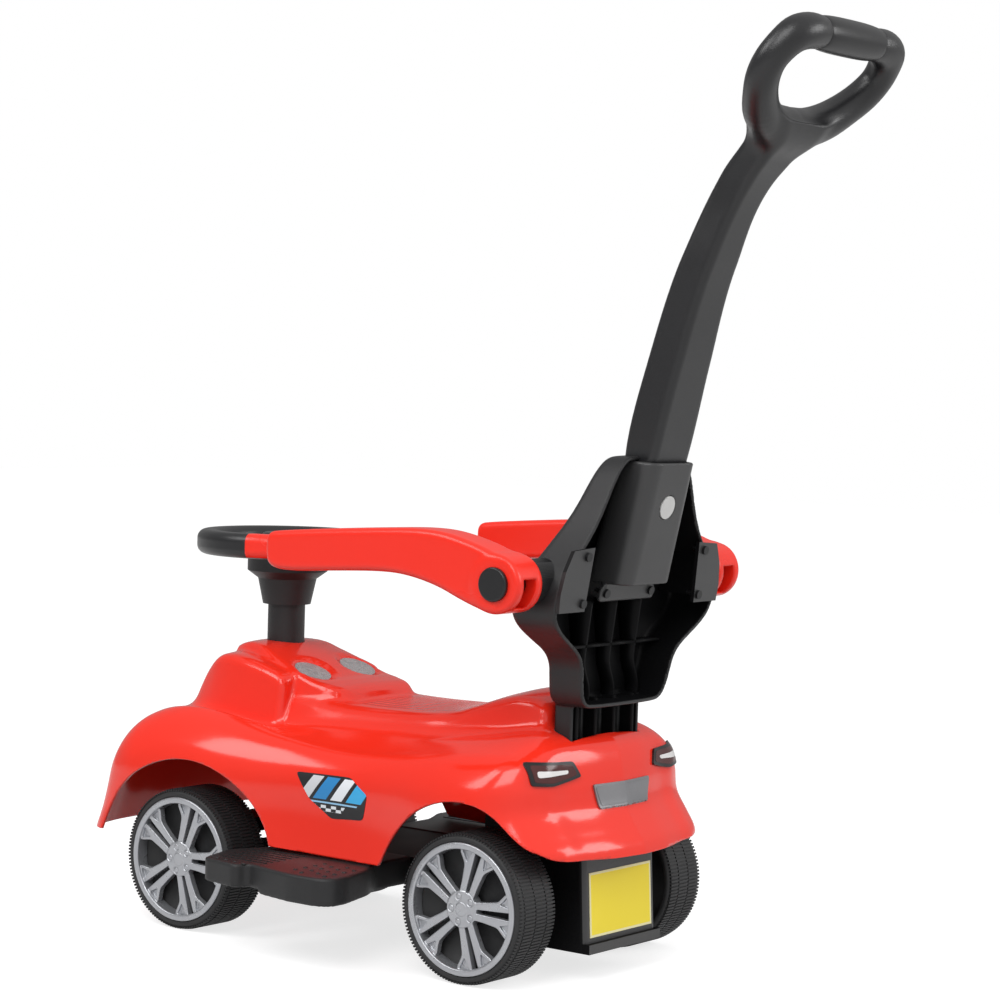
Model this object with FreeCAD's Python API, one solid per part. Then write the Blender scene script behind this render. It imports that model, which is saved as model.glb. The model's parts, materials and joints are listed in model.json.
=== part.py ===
import FreeCAD, Part
import math
import os

V = FreeCAD.Vector

# Push car with handle. Millimetres, +X forward, +Y left, +Z up, standing on z = 0.
# Sizes along x are measured from the rear axle. Every solid is moved at the end so that the
# origin lies on the floor, below the middle of the whole car.

# Clearances
run_gap = 0.06
move_gap = 0.4
seat_gap = 0.25
overrun = 60.0
full_turn_deg = 360.0

# Wheels
wheelbase = 356.0
tyre_r = 70.0
tyre_w = 53.0
tyre_round = 8.0
tyre_wall = 6.0
wheel_out = 146.5
web_t = 5.0
hub_r = 14.0
hub_len = 18.0
axle_r = 5.0
axle_short = 6.0
nut_r = 9.0
nut_t = 3.5

# Wheel covers
cover_r = 61.5
cover_depth = 15.0
cover_proud = 1.0
cover_ring = 6.5
cover_ring_round = 1.6
cover_hub_r = 17.0
cover_hub_wall = 4.0
spoke_count = 5
spoke_first_deg = 36.0
spoke_t = 6.0
spoke_drop = 2.5
# One half of a split spoke seen along the axle: out along the spoke, away from its middle line
spoke_shares = (
    (0.23, 0.028),
    (0.90, 0.064),
    (0.90, 0.300),
    (0.82, 0.345),
    (0.65, 0.180),
    (0.39, 0.150),
    (0.23, 0.130),
)
lug_r = 2.4
lug_ring_r = 12.2
lug_depth = 1.2

# Body shell
wall = 3.0
sticker_t = 1.2
sticker_gap = 0.1
body_back = 103.0
body_nose = 141.0
body_half = 148.0
hood_top = 281.0
nose_low = 88.0
sill_low = 96.0
tail_low = 118.0
nose_corner_r = 72.0
arch_front_r = 119.0
arch_front_back = 5.0
arch_front_z = 51.0
arch_rear_r = 92.0
arch_rear_z = 76.0
arch_depth = 62.0
boss_r = 8.0
boss_y = 48.0
boss_rear_x = 62.0
boss_mid_back = 108.0
boss_tail_x = 16.0
boss_front_ahead = 16.0
boss_front_y = 44.0
post_screw_y = 30.0
back_boss_r = 6.0

# Lower body: place along the body, half width at the side, shoulder and valley heights
lower_shares = (
    (-0.02, 0.970, 0.690, 0.772),
    (0.07, 0.985, 0.715, 0.776),
    (0.17, 1.000, 0.712, 0.769),
    (0.27, 0.970, 0.683, 0.747),
    (0.38, 0.922, 0.655, 0.722),
    (0.50, 0.915, 0.655, 0.702),
    (0.61, 0.950, 0.700, 0.705),
    (0.71, 0.990, 0.742, 0.727),
    (0.80, 1.000, 0.757, 0.754),
    (0.90, 0.990, 0.740, 0.750),
    (1.02, 0.975, 0.700, 0.720),
)
side_height_share = 0.530
shoulder_width_share = 0.840
valley_width_share = 0.590
sill_width_share = 0.960

# Tail and nose of the lower body, seen from the side: distance in from the end, height
tail_shares = (
    (0.004, 0.455),
    (0.020, 0.500),
    (0.041, 0.562),
    (0.047, 0.651),
    (0.062, 0.730),
    (0.085, 0.800),
)
nose_shares = (
    (0.002, 0.400),
    (0.016, 0.534),
    (0.048, 0.648),
    (0.095, 0.722),
    (0.180, 0.800),
)
# Tail seen from above: distance in from the end, half width
tail_plan_shares = ((0.100, 1.05), (0.052, 0.80), (0.020, 0.51), (0.0, 0.0))

# Hood block: place, base half width, edge half width, edge height, crown height
hood_shares = (
    (0.640, 0.561, 0.493, 0.854, 0.925),
    (0.710, 0.561, 0.486, 0.915, 0.961),
    (0.777, 0.554, 0.473, 0.947, 0.972),
    (0.812, 0.541, 0.446, 0.940, 0.968),
    (0.842, 0.514, 0.405, 0.904, 0.947),
    (0.868, 0.480, 0.365, 0.847, 0.904),
    (0.895, 0.432, 0.318, 0.776, 0.840),
    (0.922, 0.378, 0.270, 0.705, 0.754),
)
# Saddle: place, base half width, edge half width, edge height, crown height
saddle_shares = (
    (0.122, 0.500, 0.405, 0.895, 0.915),
    (0.172, 0.510, 0.410, 0.905, 0.928),
    (0.222, 0.515, 0.415, 0.885, 0.911),
    (0.267, 0.520, 0.418, 0.852, 0.875),
    (0.305, 0.525, 0.420, 0.828, 0.843),
    (0.350, 0.530, 0.420, 0.815, 0.826),
    (0.430, 0.530, 0.420, 0.808, 0.816),
    (0.520, 0.530, 0.420, 0.808, 0.816),
    (0.600, 0.535, 0.425, 0.822, 0.835),
    (0.670, 0.540, 0.430, 0.838, 0.850),
)
# Dash tongue: place, base half width, flank half width, flank height, crown height
tongue_shares = (
    (0.513, 0.150, 0.080, 0.862, 0.867),
    (0.530, 0.240, 0.160, 0.876, 0.879),
    (0.552, 0.310, 0.230, 0.890, 0.892),
    (0.580, 0.370, 0.295, 0.902, 0.904),
    (0.608, 0.410, 0.340, 0.911, 0.914),
    (0.640, 0.440, 0.370, 0.923, 0.930),
    (0.672, 0.450, 0.385, 0.937, 0.965),
    (0.705, 0.460, 0.390, 0.951, 0.985),
    (0.735, 0.450, 0.370, 0.964, 0.996),
    (0.757, 0.420, 0.320, 0.972, 1.000),
    (0.792, 0.380, 0.260, 0.968, 0.986),
    (0.835, 0.300, 0.180, 0.950, 0.962),
)
block_base_share = 0.660
tongue_base_share = 0.780

# Trim on the body
dial_r = 19.0
dial_back = 73.5
dial_y = 34.5
dial_z = 257.0
dial_tilt_deg = 22.0
dial_t = 3.0
dial_drop = 0.6
dial_ring_w = 3.5
dial_pod_depth = 26.0
plate_z = 158.0
plate_h = 26.0
plate_low_half = 38.7
plate_top_half = 44.0
lamp_z = 187.0
lamp_h = 21.0
lamp_in_y = 64.0
lamp_out_y = 127.0
lamp_cut = 12.0
lamp_reach = 42.0
lamp_tip_share = 0.42

# Chassis
pan_wall = 3.0
pan_half = 64.0
pan_rear = 42.0
pan_front_back = 56.0
pan_low = 66.0
pan_top = 92.0
box_half = 58.0
box_low = 27.0
box_top = 150.0
box_back = 77.0
box_round = 6.0
box_rake_low = 1.5
box_rake_high = 6.0
box_front_low = 24.0
lip_out = 6.0
lip_h = 9.0
sticker_half = 50.0
sticker_film_t = 0.6
sticker_low = 41.0
sticker_high = 101.0
axle_boss_r = 12.0

# Footboards: corners seen from above as shares of the board's length and width
board_rear = 97.0
board_front_back = 86.0
board_out = 223.0
board_top = 93.0
board_low = 67.0
board_wall = 3.0
board_round = 6.0
board_screw_in = 30.0
board_shares = (
    (0.00, 0.00),
    (0.00, 0.85),
    (0.07, 0.98),
    (0.27, 1.00),
    (0.62, 0.95),
    (0.68, 1.00),
    (0.95, 0.92),
    (1.00, 0.68),
    (0.97, 0.42),
    (0.97, 0.00),
)
bump_r = 2.6
bump_h = 1.2
bump_rear_rows = 3
bump_rear_cols = 4
bump_front_count = 4
bump_pitch = 14.0
bump_in_x = 20.0
bump_in_y = 28.0

# Steering below the hood
column_back = 5.0
kingpin_y = 104.0
kingpin_r = 4.5
kingpin_boss_r = 8.0
knuckle_low = 56.0
beam_low = 90.0
beam_top = 104.0
beam_half_x = 21.0
beam_taper_len = 32.0
beam_boss_low = 86.0
beam_neck_half = 40.0
beam_neck_t = 6.0
beam_neck_back = 94.0
guide_r = 12.0
guide_top = 130.0
arm_len = 32.0
arm_low = 72.0
arm_t = 6.0
arm_w = 12.0
link_pin_r = 3.5
link_t = 5.0
link_w = 20.0
clip_r = 8.0
clip_t = 2.5
rod_r = 4.0

# Steering wheel
column_r = 19.0
column_low = 248.0
bell_low = 318.0
bell_neck_r = 24.5
bell_cone_r = 30.0
bell_cone_z = 344.0
bell_flange_r = 41.0
bell_flange_z = 352.0
bell_top = 366.0
steer_r = 93.0
steer_rim_w = 24.0
steer_low = 368.0
steer_h = 25.0
steer_round = 9.0
steer_hub_r = 34.0
steer_spoke_w = 30.0
steer_spoke_t = 14.0
steer_spoke_deg = (0.0, 125.0, 235.0)
insert_span_deg = 34.0
insert_t = 4.0
insert_deg = (121.0, 239.0)
pad_r = 27.0
pad_h = 7.0

# Backrest
back_half = 130.0
back_low = 253.0
back_h = 234.0
back_wall = 3.5
rim_x = -72.0
rim_lean_share = 0.130
back_round = 9.0
back_shares = (
    (0.40, 0.000),
    (0.53, 0.060),
    (0.57, 0.170),
    (0.66, 0.245),
    (0.94, 0.330),
    (1.00, 0.400),
    (0.97, 0.480),
    (0.84, 0.600),
    (0.70, 0.700),
    (0.50, 0.870),
    (0.38, 1.000),
)
# Front face of the backrest: height, depth in front of the rear rim
back_depth = 42.0
back_depth_shares = ((0.0, 0.97), (0.2, 1.0), (0.40, 1.24), (0.63, 1.07), (0.80, 0.84), (1.0, 0.64))
rib_t = 2.5
rib_depth_share = 0.55
rib_y = 40.0
rib_top_share = 0.42
cross_rib_share = 0.235
post_half = 55.0
post_back = -53.0
post_front = -33.0

# Guard arms and their brackets
pivot_x = -55.0
pivot_share = 0.513
drum_r = 26.5
guard_in = 143.5
guard_out = 182.0
journal_r = 12.0
collar_r = 21.0
cap_r = 15.5
cap_t = 4.0
guard_round = 12.0
guard_bend = 6.0
guard_reach = 272.0
guard_rise = 44.0
# Arm outline: along the reach from the pivot, height above the pivot
guard_shares = (
    (0.10, 0.80),
    (0.22, 0.97),
    (0.34, 1.00),
    (0.50, 0.95),
    (0.72, 0.81),
    (1.00, 0.60),
    (1.00, -0.04),
    (0.90, -0.07),
    (0.49, 0.07),
    (0.38, 0.05),
    (0.25, -0.09),
    (0.14, -0.34),
)
slot_w = 13.0
slot_share = 0.6
guard_wall = 3.2
bracket_t = 4.0
bracket_screw_shares = ((0.738, 0.615), (0.730, 0.432))
bracket_shares = ((0.69, 0.40), (0.66, 0.65), (0.90, 0.64), (0.97, 0.56), (1.00, 0.47), (0.99, 0.40))
block_reach = 64.0
block_y_low = 104.0
block_h = 40.0

# Handle socket, stem, loop and grip
socket_lean_deg = 14.4
socket_x = -72.0
socket_share = 0.496
socket_half_y = 37.0
socket_half_x = 23.0
socket_round = 12.0
flange_half = 44.0
flange_drop = 17.0
flange_t = 4.0
flange_x = 0.0
flange_screw_y = 36.0
stem_half_y = 29.0
stem_half_x = 17.0
stem_wall = 4.0
stem_start = 6.0
stem_round = 9.0
stem_back = 28.0
stem_gap = 1.0
stem_run = 118.0
stem_rise = 285.0
# Stem line above the socket: back along the run, up along the rise, widths of the section
stem_shares = (
    (0.00, 0.000, 1.00, 1.00),
    (0.19, 0.310, 0.92, 1.00),
    (0.42, 0.620, 0.79, 0.97),
    (0.79, 0.900, 0.74, 0.88),
    (1.00, 1.000, 1.00, 0.84),
)
loop_lean_deg = 38.0
loop_top = 114.0
loop_half = 96.0
loop_tube_r = 14.0
neck_rise = 18.0
neck_half = 44.0
loop_shares = ((0.90, 1.00), (0.97, 0.64), (0.34, 0.17))
loop_round_shares = (0.22, 0.36, 0.30)
grip_half = 48.0
grip_end_r = 15.0
grip_mid_r = 17.0
button_r = 11.0
button_len = 14.2
button_up = 80.0
button_proud = 1.2
button_flange_r = 14.0
button_flange_t = 2.7

# Screws
screw_head_r = 4.2
screw_head_t = 2.6
screw_r = 2.0
screw_len = 12.0

# Places worked out from the sizes above
body_length = body_back + wheelbase + body_nose
nose_x = wheelbase + body_nose
boss_mid_x = wheelbase - boss_mid_back
boss_front_x = wheelbase + boss_front_ahead
dial_x = wheelbase - dial_back
pan_front = wheelbase - pan_front_back
board_front = wheelbase - board_front_back
column_x = wheelbase - column_back
beam_neck_rear = wheelbase - beam_neck_back
back_top = back_low + back_h
pivot_z = back_low + back_h * pivot_share
socket_z = back_low + back_h * socket_share
socket_h = back_top - socket_z
stem_x = socket_x - stem_back
stem_z = back_top + stem_gap
loop_dir = V(-math.sin(math.radians(loop_lean_deg)), 0, math.cos(math.radians(loop_lean_deg)))
loop_base = V(stem_x - stem_run, 0, stem_z + stem_rise)
grip_centre = loop_base + loop_dir * loop_top
middle_x = (nose_x + grip_centre.x - grip_mid_r) / 2


def box(x0, x1, y0, y1, z0, z1):
    return Part.makeBox(x1 - x0, y1 - y0, z1 - z0, V(x0, y0, z0))


def rod(start, direction, radius, length):
    return Part.makeCylinder(radius, length, start, direction)


def mirrored(shape):
    return shape.mirror(V(0, 0, 0), V(0, 1, 0))


def both_sides(shape):
    return [shape, mirrored(shape)]


def fuse_all(shapes):
    return shapes[0].multiFuse(shapes[1:]).removeSplitter() if len(shapes) > 1 else shapes[0]


def polygon(points):
    return Part.makePolygon(list(points) + [points[0]])


def rounded_wire(points, radii):
    edges = []
    ends = []
    count = len(points)
    for i in range(count):
        here = points[i]
        before = (points[i - 1] - here).normalize()
        after = (points[(i + 1) % count] - here).normalize()
        if radii[i] <= 0:
            ends.append((here, here, here))
            continue
        half = before.getAngle(after) / 2
        bisector = (before + after).normalize()
        centre = here + bisector * (radii[i] / math.sin(half))
        reach = radii[i] / math.tan(half)
        ends.append((here + before * reach, centre - bisector * radii[i], here + after * reach))
    for i in range(count):
        enter, middle, leave = ends[i]
        start = ends[i - 1][2]
        if start.distanceToPoint(enter) > 1e-6:
            edges.append(Part.LineSegment(start, enter).toShape())
        if radii[i] > 0:
            edges.append(Part.Arc(enter, middle, leave).toShape())
    return Part.Wire(edges)


def spline(points):
    curve = Part.BSplineCurve()
    curve.interpolate(points)
    return curve.toShape()


def solid_of(wire, direction):
    return Part.Face(wire).extrude(direction)


def across(wire, half):
    return solid_of(wire, V(0, half * 2, 0)).translated(V(0, -half, 0))


def revolved(points, radii, axis):
    return Part.Face(rounded_wire(points, radii)).revolve(V(0, 0, 0), axis, full_turn_deg)


def along_body(share):
    return -body_back + share * body_length


# Body shell. The inset moves every face of the outer form inwards.

def lower_block(inset):
    wires = []
    for place, side, shoulder_z, valley_z in lower_shares:
        x = along_body(place)
        side_y = side * body_half - inset
        low = V(x, side_y - (1 - sill_width_share) * body_half, nose_low - wall)
        mid = V(x, side_y, side_height_share * hood_top)
        shoulder = V(x, side_y * shoulder_width_share, shoulder_z * hood_top - inset)
        valley = V(x, valley_width_share * body_half - inset, valley_z * hood_top - inset)
        wires.append(section_wire([low, mid, shoulder, valley]))
    return Part.makeLoft(wires, True, False)


def section_wire(half_points):
    other = [V(p.x, -p.y, p.z) for p in half_points]
    return Part.Wire(
        [
            Part.LineSegment(other[0], half_points[0]).toShape(),
            spline(half_points),
            Part.LineSegment(half_points[-1], other[-1]).toShape(),
            spline(other[::-1]),
        ]
    )


def side_limits(inset):
    tail = [V(along_body(s) + inset, 0, h * hood_top) for s, h in tail_shares]
    tail = [V(-body_back + inset, 0, tail_low)] + tail
    nose = [V(nose_x - s * body_length - inset, 0, h * hood_top) for s, h in nose_shares]
    nose = [V(nose_x - inset, 0, nose_low)] + nose
    high = V(0, 0, hood_top)
    drop = max(inset, 0)
    front = wheelbase - arch_front_back
    under = [
        V(nose[0].x, 0, nose_low - drop),
        V(front, 0, nose_low - drop),
        V(front, 0, sill_low - drop),
        V(0, 0, sill_low - drop),
        V(0, 0, tail_low - drop),
        V(tail[0].x, 0, tail_low - drop),
    ]
    path = [tail[-1], tail[-1] + high, nose[-1] + high, nose[-1]]
    edges = [spline(tail), spline(nose[::-1])]
    edges += Part.makePolygon(path).Edges
    edges += Part.makePolygon([nose[0]] + under + [tail[0]] if drop else under).Edges
    wire = Part.Wire(Part.__sortEdges__(edges))
    return across(wire, body_half * 2)


def plan_limits(inset):
    rear = [V(along_body(s) + inset, w * body_half, 0) for s, w in tail_plan_shares]
    rear = rear + [V(p.x, -p.y, 0) for p in rear[-2::-1]]
    corner = V(nose_x - inset, body_half - inset, 0)
    round_r = nose_corner_r - inset
    middle = V(corner.x - round_r, corner.y - round_r, 0)
    bend = round_r / math.sqrt(2)
    left = [V(middle.x, corner.y, 0), V(middle.x + bend, middle.y + bend, 0), V(corner.x, middle.y, 0)]
    right = [V(p.x, -p.y, 0) for p in left[::-1]]
    edges = [
        spline(rear),
        Part.LineSegment(rear[-1], right[-1]).toShape(),
        Part.Arc(right[2], right[1], right[0]).toShape(),
        Part.LineSegment(right[0], left[-1]).toShape(),
        Part.Arc(left[2], left[1], left[0]).toShape(),
        Part.LineSegment(left[0], rear[0]).toShape(),
    ]
    wire = Part.Wire(Part.__sortEdges__(edges))
    return solid_of(wire, V(0, 0, hood_top * 2))


def block(rows, base_z, inset):
    wires = []
    last = len(rows) - 1
    for i, (place, base, edge, edge_z, crown_z) in enumerate(rows):
        x = along_body(place) + (inset if i == 0 else 0) - (inset if i == last else 0)
        foot = V(x, base * body_half - inset, base_z - inset)
        rim = V(x, edge * body_half - inset, edge_z * hood_top - inset)
        crown = V(x, 0, crown_z * hood_top - inset)
        right_rim = V(x, -rim.y, rim.z)
        right_foot = V(x, -foot.y, foot.z)
        wires.append(
            Part.Wire(
                [
                    Part.LineSegment(right_foot, foot).toShape(),
                    Part.LineSegment(foot, rim).toShape(),
                    Part.Arc(rim, crown, right_rim).toShape(),
                    Part.LineSegment(right_rim, right_foot).toShape(),
                ]
            )
        )
    return Part.makeLoft(wires, True, False)


def body_form(inset):
    lower = lower_block(inset).common(side_limits(inset)).common(plan_limits(inset))
    hood = block(hood_shares, block_base_share * hood_top, inset)
    saddle = block(saddle_shares, block_base_share * hood_top, inset)
    tongue = block(tongue_shares, tongue_base_share * hood_top, inset)
    return lower.multiFuse([hood, saddle, tongue])


def arch_cut(x, z, radius):
    start = V(x, body_half - arch_depth, z)
    return both_sides(rod(start, V(0, 1, 0), radius, arch_depth + overrun))


def boss(x, y, low, outer):
    post = rod(V(x, y, low), V(0, 0, 1), boss_r, hood_top - low).common(outer)
    return post.cut(rod(V(x, y, low), V(0, 0, 1), screw_r, screw_len))


def body_bosses(outer):
    places = [
        (boss_rear_x, boss_y, pan_top),
        (boss_mid_x, boss_y, pan_top),
        (boss_tail_x, boss_y, box_top),
        (boss_front_x, boss_front_y, beam_top),
    ]
    return [boss(x, side * y, low, outer) for x, y, low in places for side in (1, -1)]


def at_dial(shape):
    tilted = shape.rotated(V(0, 0, 0), V(0, 1, 0), -dial_tilt_deg)
    return tilted.translated(V(dial_x, dial_y, dial_z))


def dial_pod():
    return at_dial(rod(V(0, 0, 0), V(0, 0, -1), dial_r + dial_ring_w, dial_pod_depth))


def dial_recess():
    # Clears what stands over the ring, and sinks the dial's seat below it
    above = at_dial(rod(V(0, 0, 0), V(0, 0, 1), dial_r + dial_ring_w, dial_pod_depth))
    return above.fuse(at_dial(rod(V(0, 0, dial_t), V(0, 0, -1), dial_r, dial_t * 2)))


def dash_dial():
    return at_dial(rod(V(0, 0, -dial_drop), V(0, 0, -1), dial_r, dial_t - dial_drop))


def post_box(grow, low):
    high = back_low + back_wall
    return box(post_back - grow, post_front + grow, -post_half - grow, post_half + grow, low, high)


def body_shell(outer):
    shell = outer.cut(body_form(wall))
    shell = shell.multiFuse(body_bosses(outer) + both_sides(dial_pod()))
    front = arch_cut(wheelbase - arch_front_back, arch_front_z, arch_front_r)
    rear = arch_cut(0, arch_rear_z, arch_rear_r)
    column = rod(V(column_x, 0, column_low), V(0, 0, 1), column_r + run_gap, hood_top)
    cuts = front + rear + both_sides(dial_recess())
    return shell.cut(cuts + [column, post_box(seat_gap, box_top)])


def tail_prism(points, radii):
    far = V(-body_back - overrun, 0, 0)
    wire = rounded_wire([far + V(0, y, z) for y, z in points], radii)
    return solid_of(wire, V(body_back + overrun - lamp_reach, 0, 0))


def number_plate(skin):
    top = plate_z + plate_h
    left = [(plate_low_half, plate_z), (plate_top_half, top)]
    points = left + [(-y, z) for y, z in left[::-1]]
    return tail_prism(points, [0] * len(points)).common(skin)


def tail_lamp(skin):
    top = lamp_z + lamp_h
    middle = lamp_z + lamp_h * lamp_tip_share
    points = [
        (lamp_in_y + lamp_cut, top),
        (lamp_in_y, middle),
        (lamp_in_y + lamp_cut * 2, lamp_z),
        (lamp_out_y - lamp_cut, lamp_z),
        (lamp_out_y, top),
    ]
    return tail_prism(points, [0] * len(points)).common(skin)


# Wheels, made on the left side with the axle along y

def wheel_profile(points):
    return [V(r, wheel_out - a, 0) for a, r in points]


def tyre_body():
    pocket_r = cover_r + seat_gap
    well = cover_depth + web_t
    points = [
        (0, pocket_r),
        (0, tyre_r),
        (tyre_w, tyre_r),
        (tyre_w, tyre_r - tyre_wall),
        (well, tyre_r - tyre_wall),
        (well, hub_r),
        (cover_depth + hub_len, hub_r),
        (cover_depth + hub_len, axle_r + run_gap),
        (cover_depth, axle_r + run_gap),
        (cover_depth, pocket_r),
    ]
    radii = [0] * len(points)
    radii[1] = tyre_round
    radii[2] = tyre_round
    return revolved(wheel_profile(points), radii, V(0, 1, 0))


def half_spoke(side):
    low = wheel_out - spoke_drop - spoke_t
    points = [V(u * cover_r, low, side * t * cover_r) for u, t in spoke_shares]
    return solid_of(polygon(points), V(0, spoke_t, 0))


def spokes():
    pair = [half_spoke(1), half_spoke(-1)]
    turned = []
    for i in range(spoke_count):
        turn = spoke_first_deg + i * full_turn_deg / spoke_count
        turned += [half.rotated(V(0, 0, 0), V(0, 1, 0), turn) for half in pair]
    return turned


def lug_holes():
    lugs = []
    for i in range(spoke_count):
        turn = math.radians(spoke_first_deg + (i + 1 / 2) * full_turn_deg / spoke_count)
        at = V(math.cos(turn) * lug_ring_r, wheel_out, math.sin(turn) * lug_ring_r)
        lugs.append(rod(at, V(0, -1, 0), lug_r, lug_depth))
    return lugs


def wheel_cover():
    face = wheel_out + cover_proud
    back = wheel_out - cover_depth
    inner_r = cover_r - cover_ring
    points = [V(cover_r, face, 0), V(cover_r, back, 0), V(inner_r, back, 0), V(inner_r, face, 0)]
    ring = revolved(points, [cover_ring_round, 0, 0, cover_ring_round], V(0, 1, 0))
    hub = rod(V(0, wheel_out, 0), V(0, -1, 0), cover_hub_r, cover_depth)
    hollow_r = cover_hub_r - cover_hub_wall
    hollow = rod(V(0, wheel_out - cover_hub_wall, 0), V(0, -1, 0), hollow_r, cover_depth)
    return fuse_all([ring, hub] + spokes()).cut([hollow] + lug_holes())


def push_nut():
    ring = rod(V(0, wheel_out - cover_depth + move_gap, 0), V(0, 1, 0), nut_r, nut_t)
    return ring.cut(rod(V(0, 0, 0), V(0, 1, 0), axle_r, wheel_out))


def at_axle(shape, x):
    return shape.translated(V(x, 0, tyre_r))


# Chassis

def screw_set(places, direction):
    return Part.makeCompound([screw(at, direction) for at in places])


def screw(at, direction):
    head = rod(at, direction * -1, screw_head_r, screw_head_t)
    shank = rod(at, direction, screw_r, screw_len)
    return head.fuse(shank)


def holes(places, direction):
    length = screw_len + seat_gap * 2
    return [rod(at - direction * seat_gap, direction, screw_r, length) for at in places]


def pan_screw_places():
    under = pan_top - pan_wall
    return [V(x, side * boss_y, under) for x in (boss_rear_x, boss_mid_x) for side in (1, -1)]


def chassis_pan():
    pan = box(pan_rear, pan_front, -pan_half, pan_half, pan_low, pan_top)
    inside = box(
        pan_rear + pan_wall,
        pan_front - pan_wall,
        -pan_half + pan_wall,
        pan_half - pan_wall,
        pan_low - pan_wall,
        pan_top - pan_wall,
    )
    rib_x = (boss_rear_x + boss_mid_x) / 2
    rib_half = pan_half - pan_wall
    rib = box(rib_x, rib_x + pan_wall, -rib_half, rib_half, pan_low, pan_top - pan_wall)
    up = V(0, 0, 1)
    pan = pan.cut(inside).fuse(rib)
    return pan.cut(holes(pan_screw_places(), up) + holes(beam_screw_places(), up) + board_screw_cuts())


def axle_box():
    rear = -box_back
    points = [
        V(rear - box_rake_low, 0, box_low),
        V(rear + box_rake_high, 0, box_top),
        V(pan_rear, 0, box_top),
        V(pan_rear, 0, pan_low),
        V(box_front_low, 0, box_low),
    ]
    inward = [(1, -1), (1, -1), (-1, -1), (-1, 0), (-1, -1)]
    inner = [p + V(a, 0, b) * pan_wall for p, (a, b) in zip(points, inward)]
    side = across(polygon(points), box_half)
    corners = [e for e in side.Edges if e.BoundBox.XMax < 0 and e.BoundBox.ZLength > lip_h]
    side = side.makeFillet(box_round, corners)
    hollow = across(polygon(inner), box_half - pan_wall)
    boss_end = wheel_out - cover_depth - hub_len - move_gap
    sleeve = rod(V(0, -boss_end, tyre_r), V(0, 1, 0), axle_boss_r, boss_end * 2)
    lip = box(rear - lip_out, rear + pan_wall, -box_half, box_half, box_low, box_low + lip_h)
    bore = rod(V(0, -wheel_out, tyre_r), V(0, 1, 0), axle_r, wheel_out * 2)
    shape = side.cut(hollow).multiFuse([sleeve, lip])
    return shape.cut([bore] + holes(box_screw_places(), V(0, 0, 1)))


def box_screw_places():
    under = box_top - pan_wall
    middle = (post_back + post_front) / 2
    spots = [(boss_tail_x, boss_y), (middle, post_screw_y)]
    return [V(x, side * y, under) for x, y in spots for side in (1, -1)]


def box_face_x(z):
    slope = (box_rake_low + box_rake_high) / (box_top - box_low)
    return -box_back - box_rake_low + slope * (z - box_low)


def rear_sticker():
    heights = (sticker_low, sticker_high)
    face = [V(box_face_x(z), 0, z) for z in heights]
    outer = [p - V(sticker_film_t, 0, 0) for p in face[::-1]]
    return across(polygon(face + outer), sticker_half)


def rear_axle():
    half = wheel_out - axle_short
    return rod(V(0, -half, tyre_r), V(0, 1, 0), axle_r, half * 2)


def board_points():
    length = board_front - board_rear
    width = board_out - pan_half
    return [V(board_rear + u * length, pan_half + w * width, 0) for u, w in board_shares]


def board_screw_places():
    low = (pan_low + pan_top) / 2
    inner = pan_half - pan_wall
    xs = (board_rear + board_screw_in, board_front - board_screw_in)
    return [V(x, inner, low) for x in xs]


def board_screw_cuts():
    cuts = holes(board_screw_places(), V(0, 1, 0))
    return cuts + [mirrored(c) for c in cuts]


def footboard():
    points = board_points()
    radii = [0] + [board_round] * (len(points) - 2) + [0]
    outline = rounded_wire(points, radii)
    plate = solid_of(outline, V(0, 0, board_top - board_low)).translated(V(0, 0, board_low))
    inner = outline.makeOffset2D(-board_wall)
    hollow = solid_of(inner, V(0, 0, board_top - board_low - board_wall)).translated(V(0, 0, board_low))
    board = plate.cut(hollow).cut(holes(board_screw_places(), V(0, 1, 0)))
    return board.multiFuse(anti_slip_bumps())


def anti_slip_bumps():
    bumps = []
    start_x = board_rear + bump_in_x
    start_y = board_out - bump_in_y
    for i in range(bump_rear_cols):
        for j in range(bump_rear_rows):
            shift = (j % 2) * bump_pitch / 2
            at = V(start_x + i * bump_pitch + shift, start_y - j * bump_pitch, board_top)
            bumps.append(Part.makeCone(bump_r, bump_r / 2, bump_h, at))
    front_x = board_front - bump_in_x
    for i in range(bump_front_count):
        at = V(front_x - i * bump_pitch, start_y, board_top)
        bumps.append(Part.makeCone(bump_r, bump_r / 2, bump_h, at))
    return bumps


# Steering below the hood

def beam_screw_places():
    x = (beam_neck_rear + pan_front) / 2
    return [V(x, side * beam_neck_half / 2, pan_top - pan_wall) for side in (1, -1)]


def front_axle_beam():
    front = wheelbase + beam_half_x
    rear = wheelbase - beam_half_x
    bar = box(rear, front, -kingpin_y, kingpin_y, beam_low, beam_top)
    neck = box(beam_neck_rear, rear, -beam_neck_half, beam_neck_half, pan_top, pan_top + beam_neck_t)
    boss_foot = V(wheelbase, kingpin_y, beam_boss_low)
    ends = both_sides(rod(boss_foot, V(0, 0, 1), kingpin_boss_r, beam_top - beam_boss_low))
    taper = both_sides(beam_taper())
    guide = rod(V(column_x, 0, beam_boss_low), V(0, 0, 1), guide_r, guide_top - beam_boss_low)
    beam = bar.cut(taper).multiFuse([neck, guide] + ends)
    bores = both_sides(rod(V(wheelbase, kingpin_y, 0), V(0, 0, 1), kingpin_r + run_gap, hood_top))
    bores.append(rod(V(column_x, 0, 0), V(0, 0, 1), rod_r + run_gap, hood_top))
    up = V(0, 0, 1)
    return beam.cut(bores + holes(beam_screw_places() + front_screw_places(), up))


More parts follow.
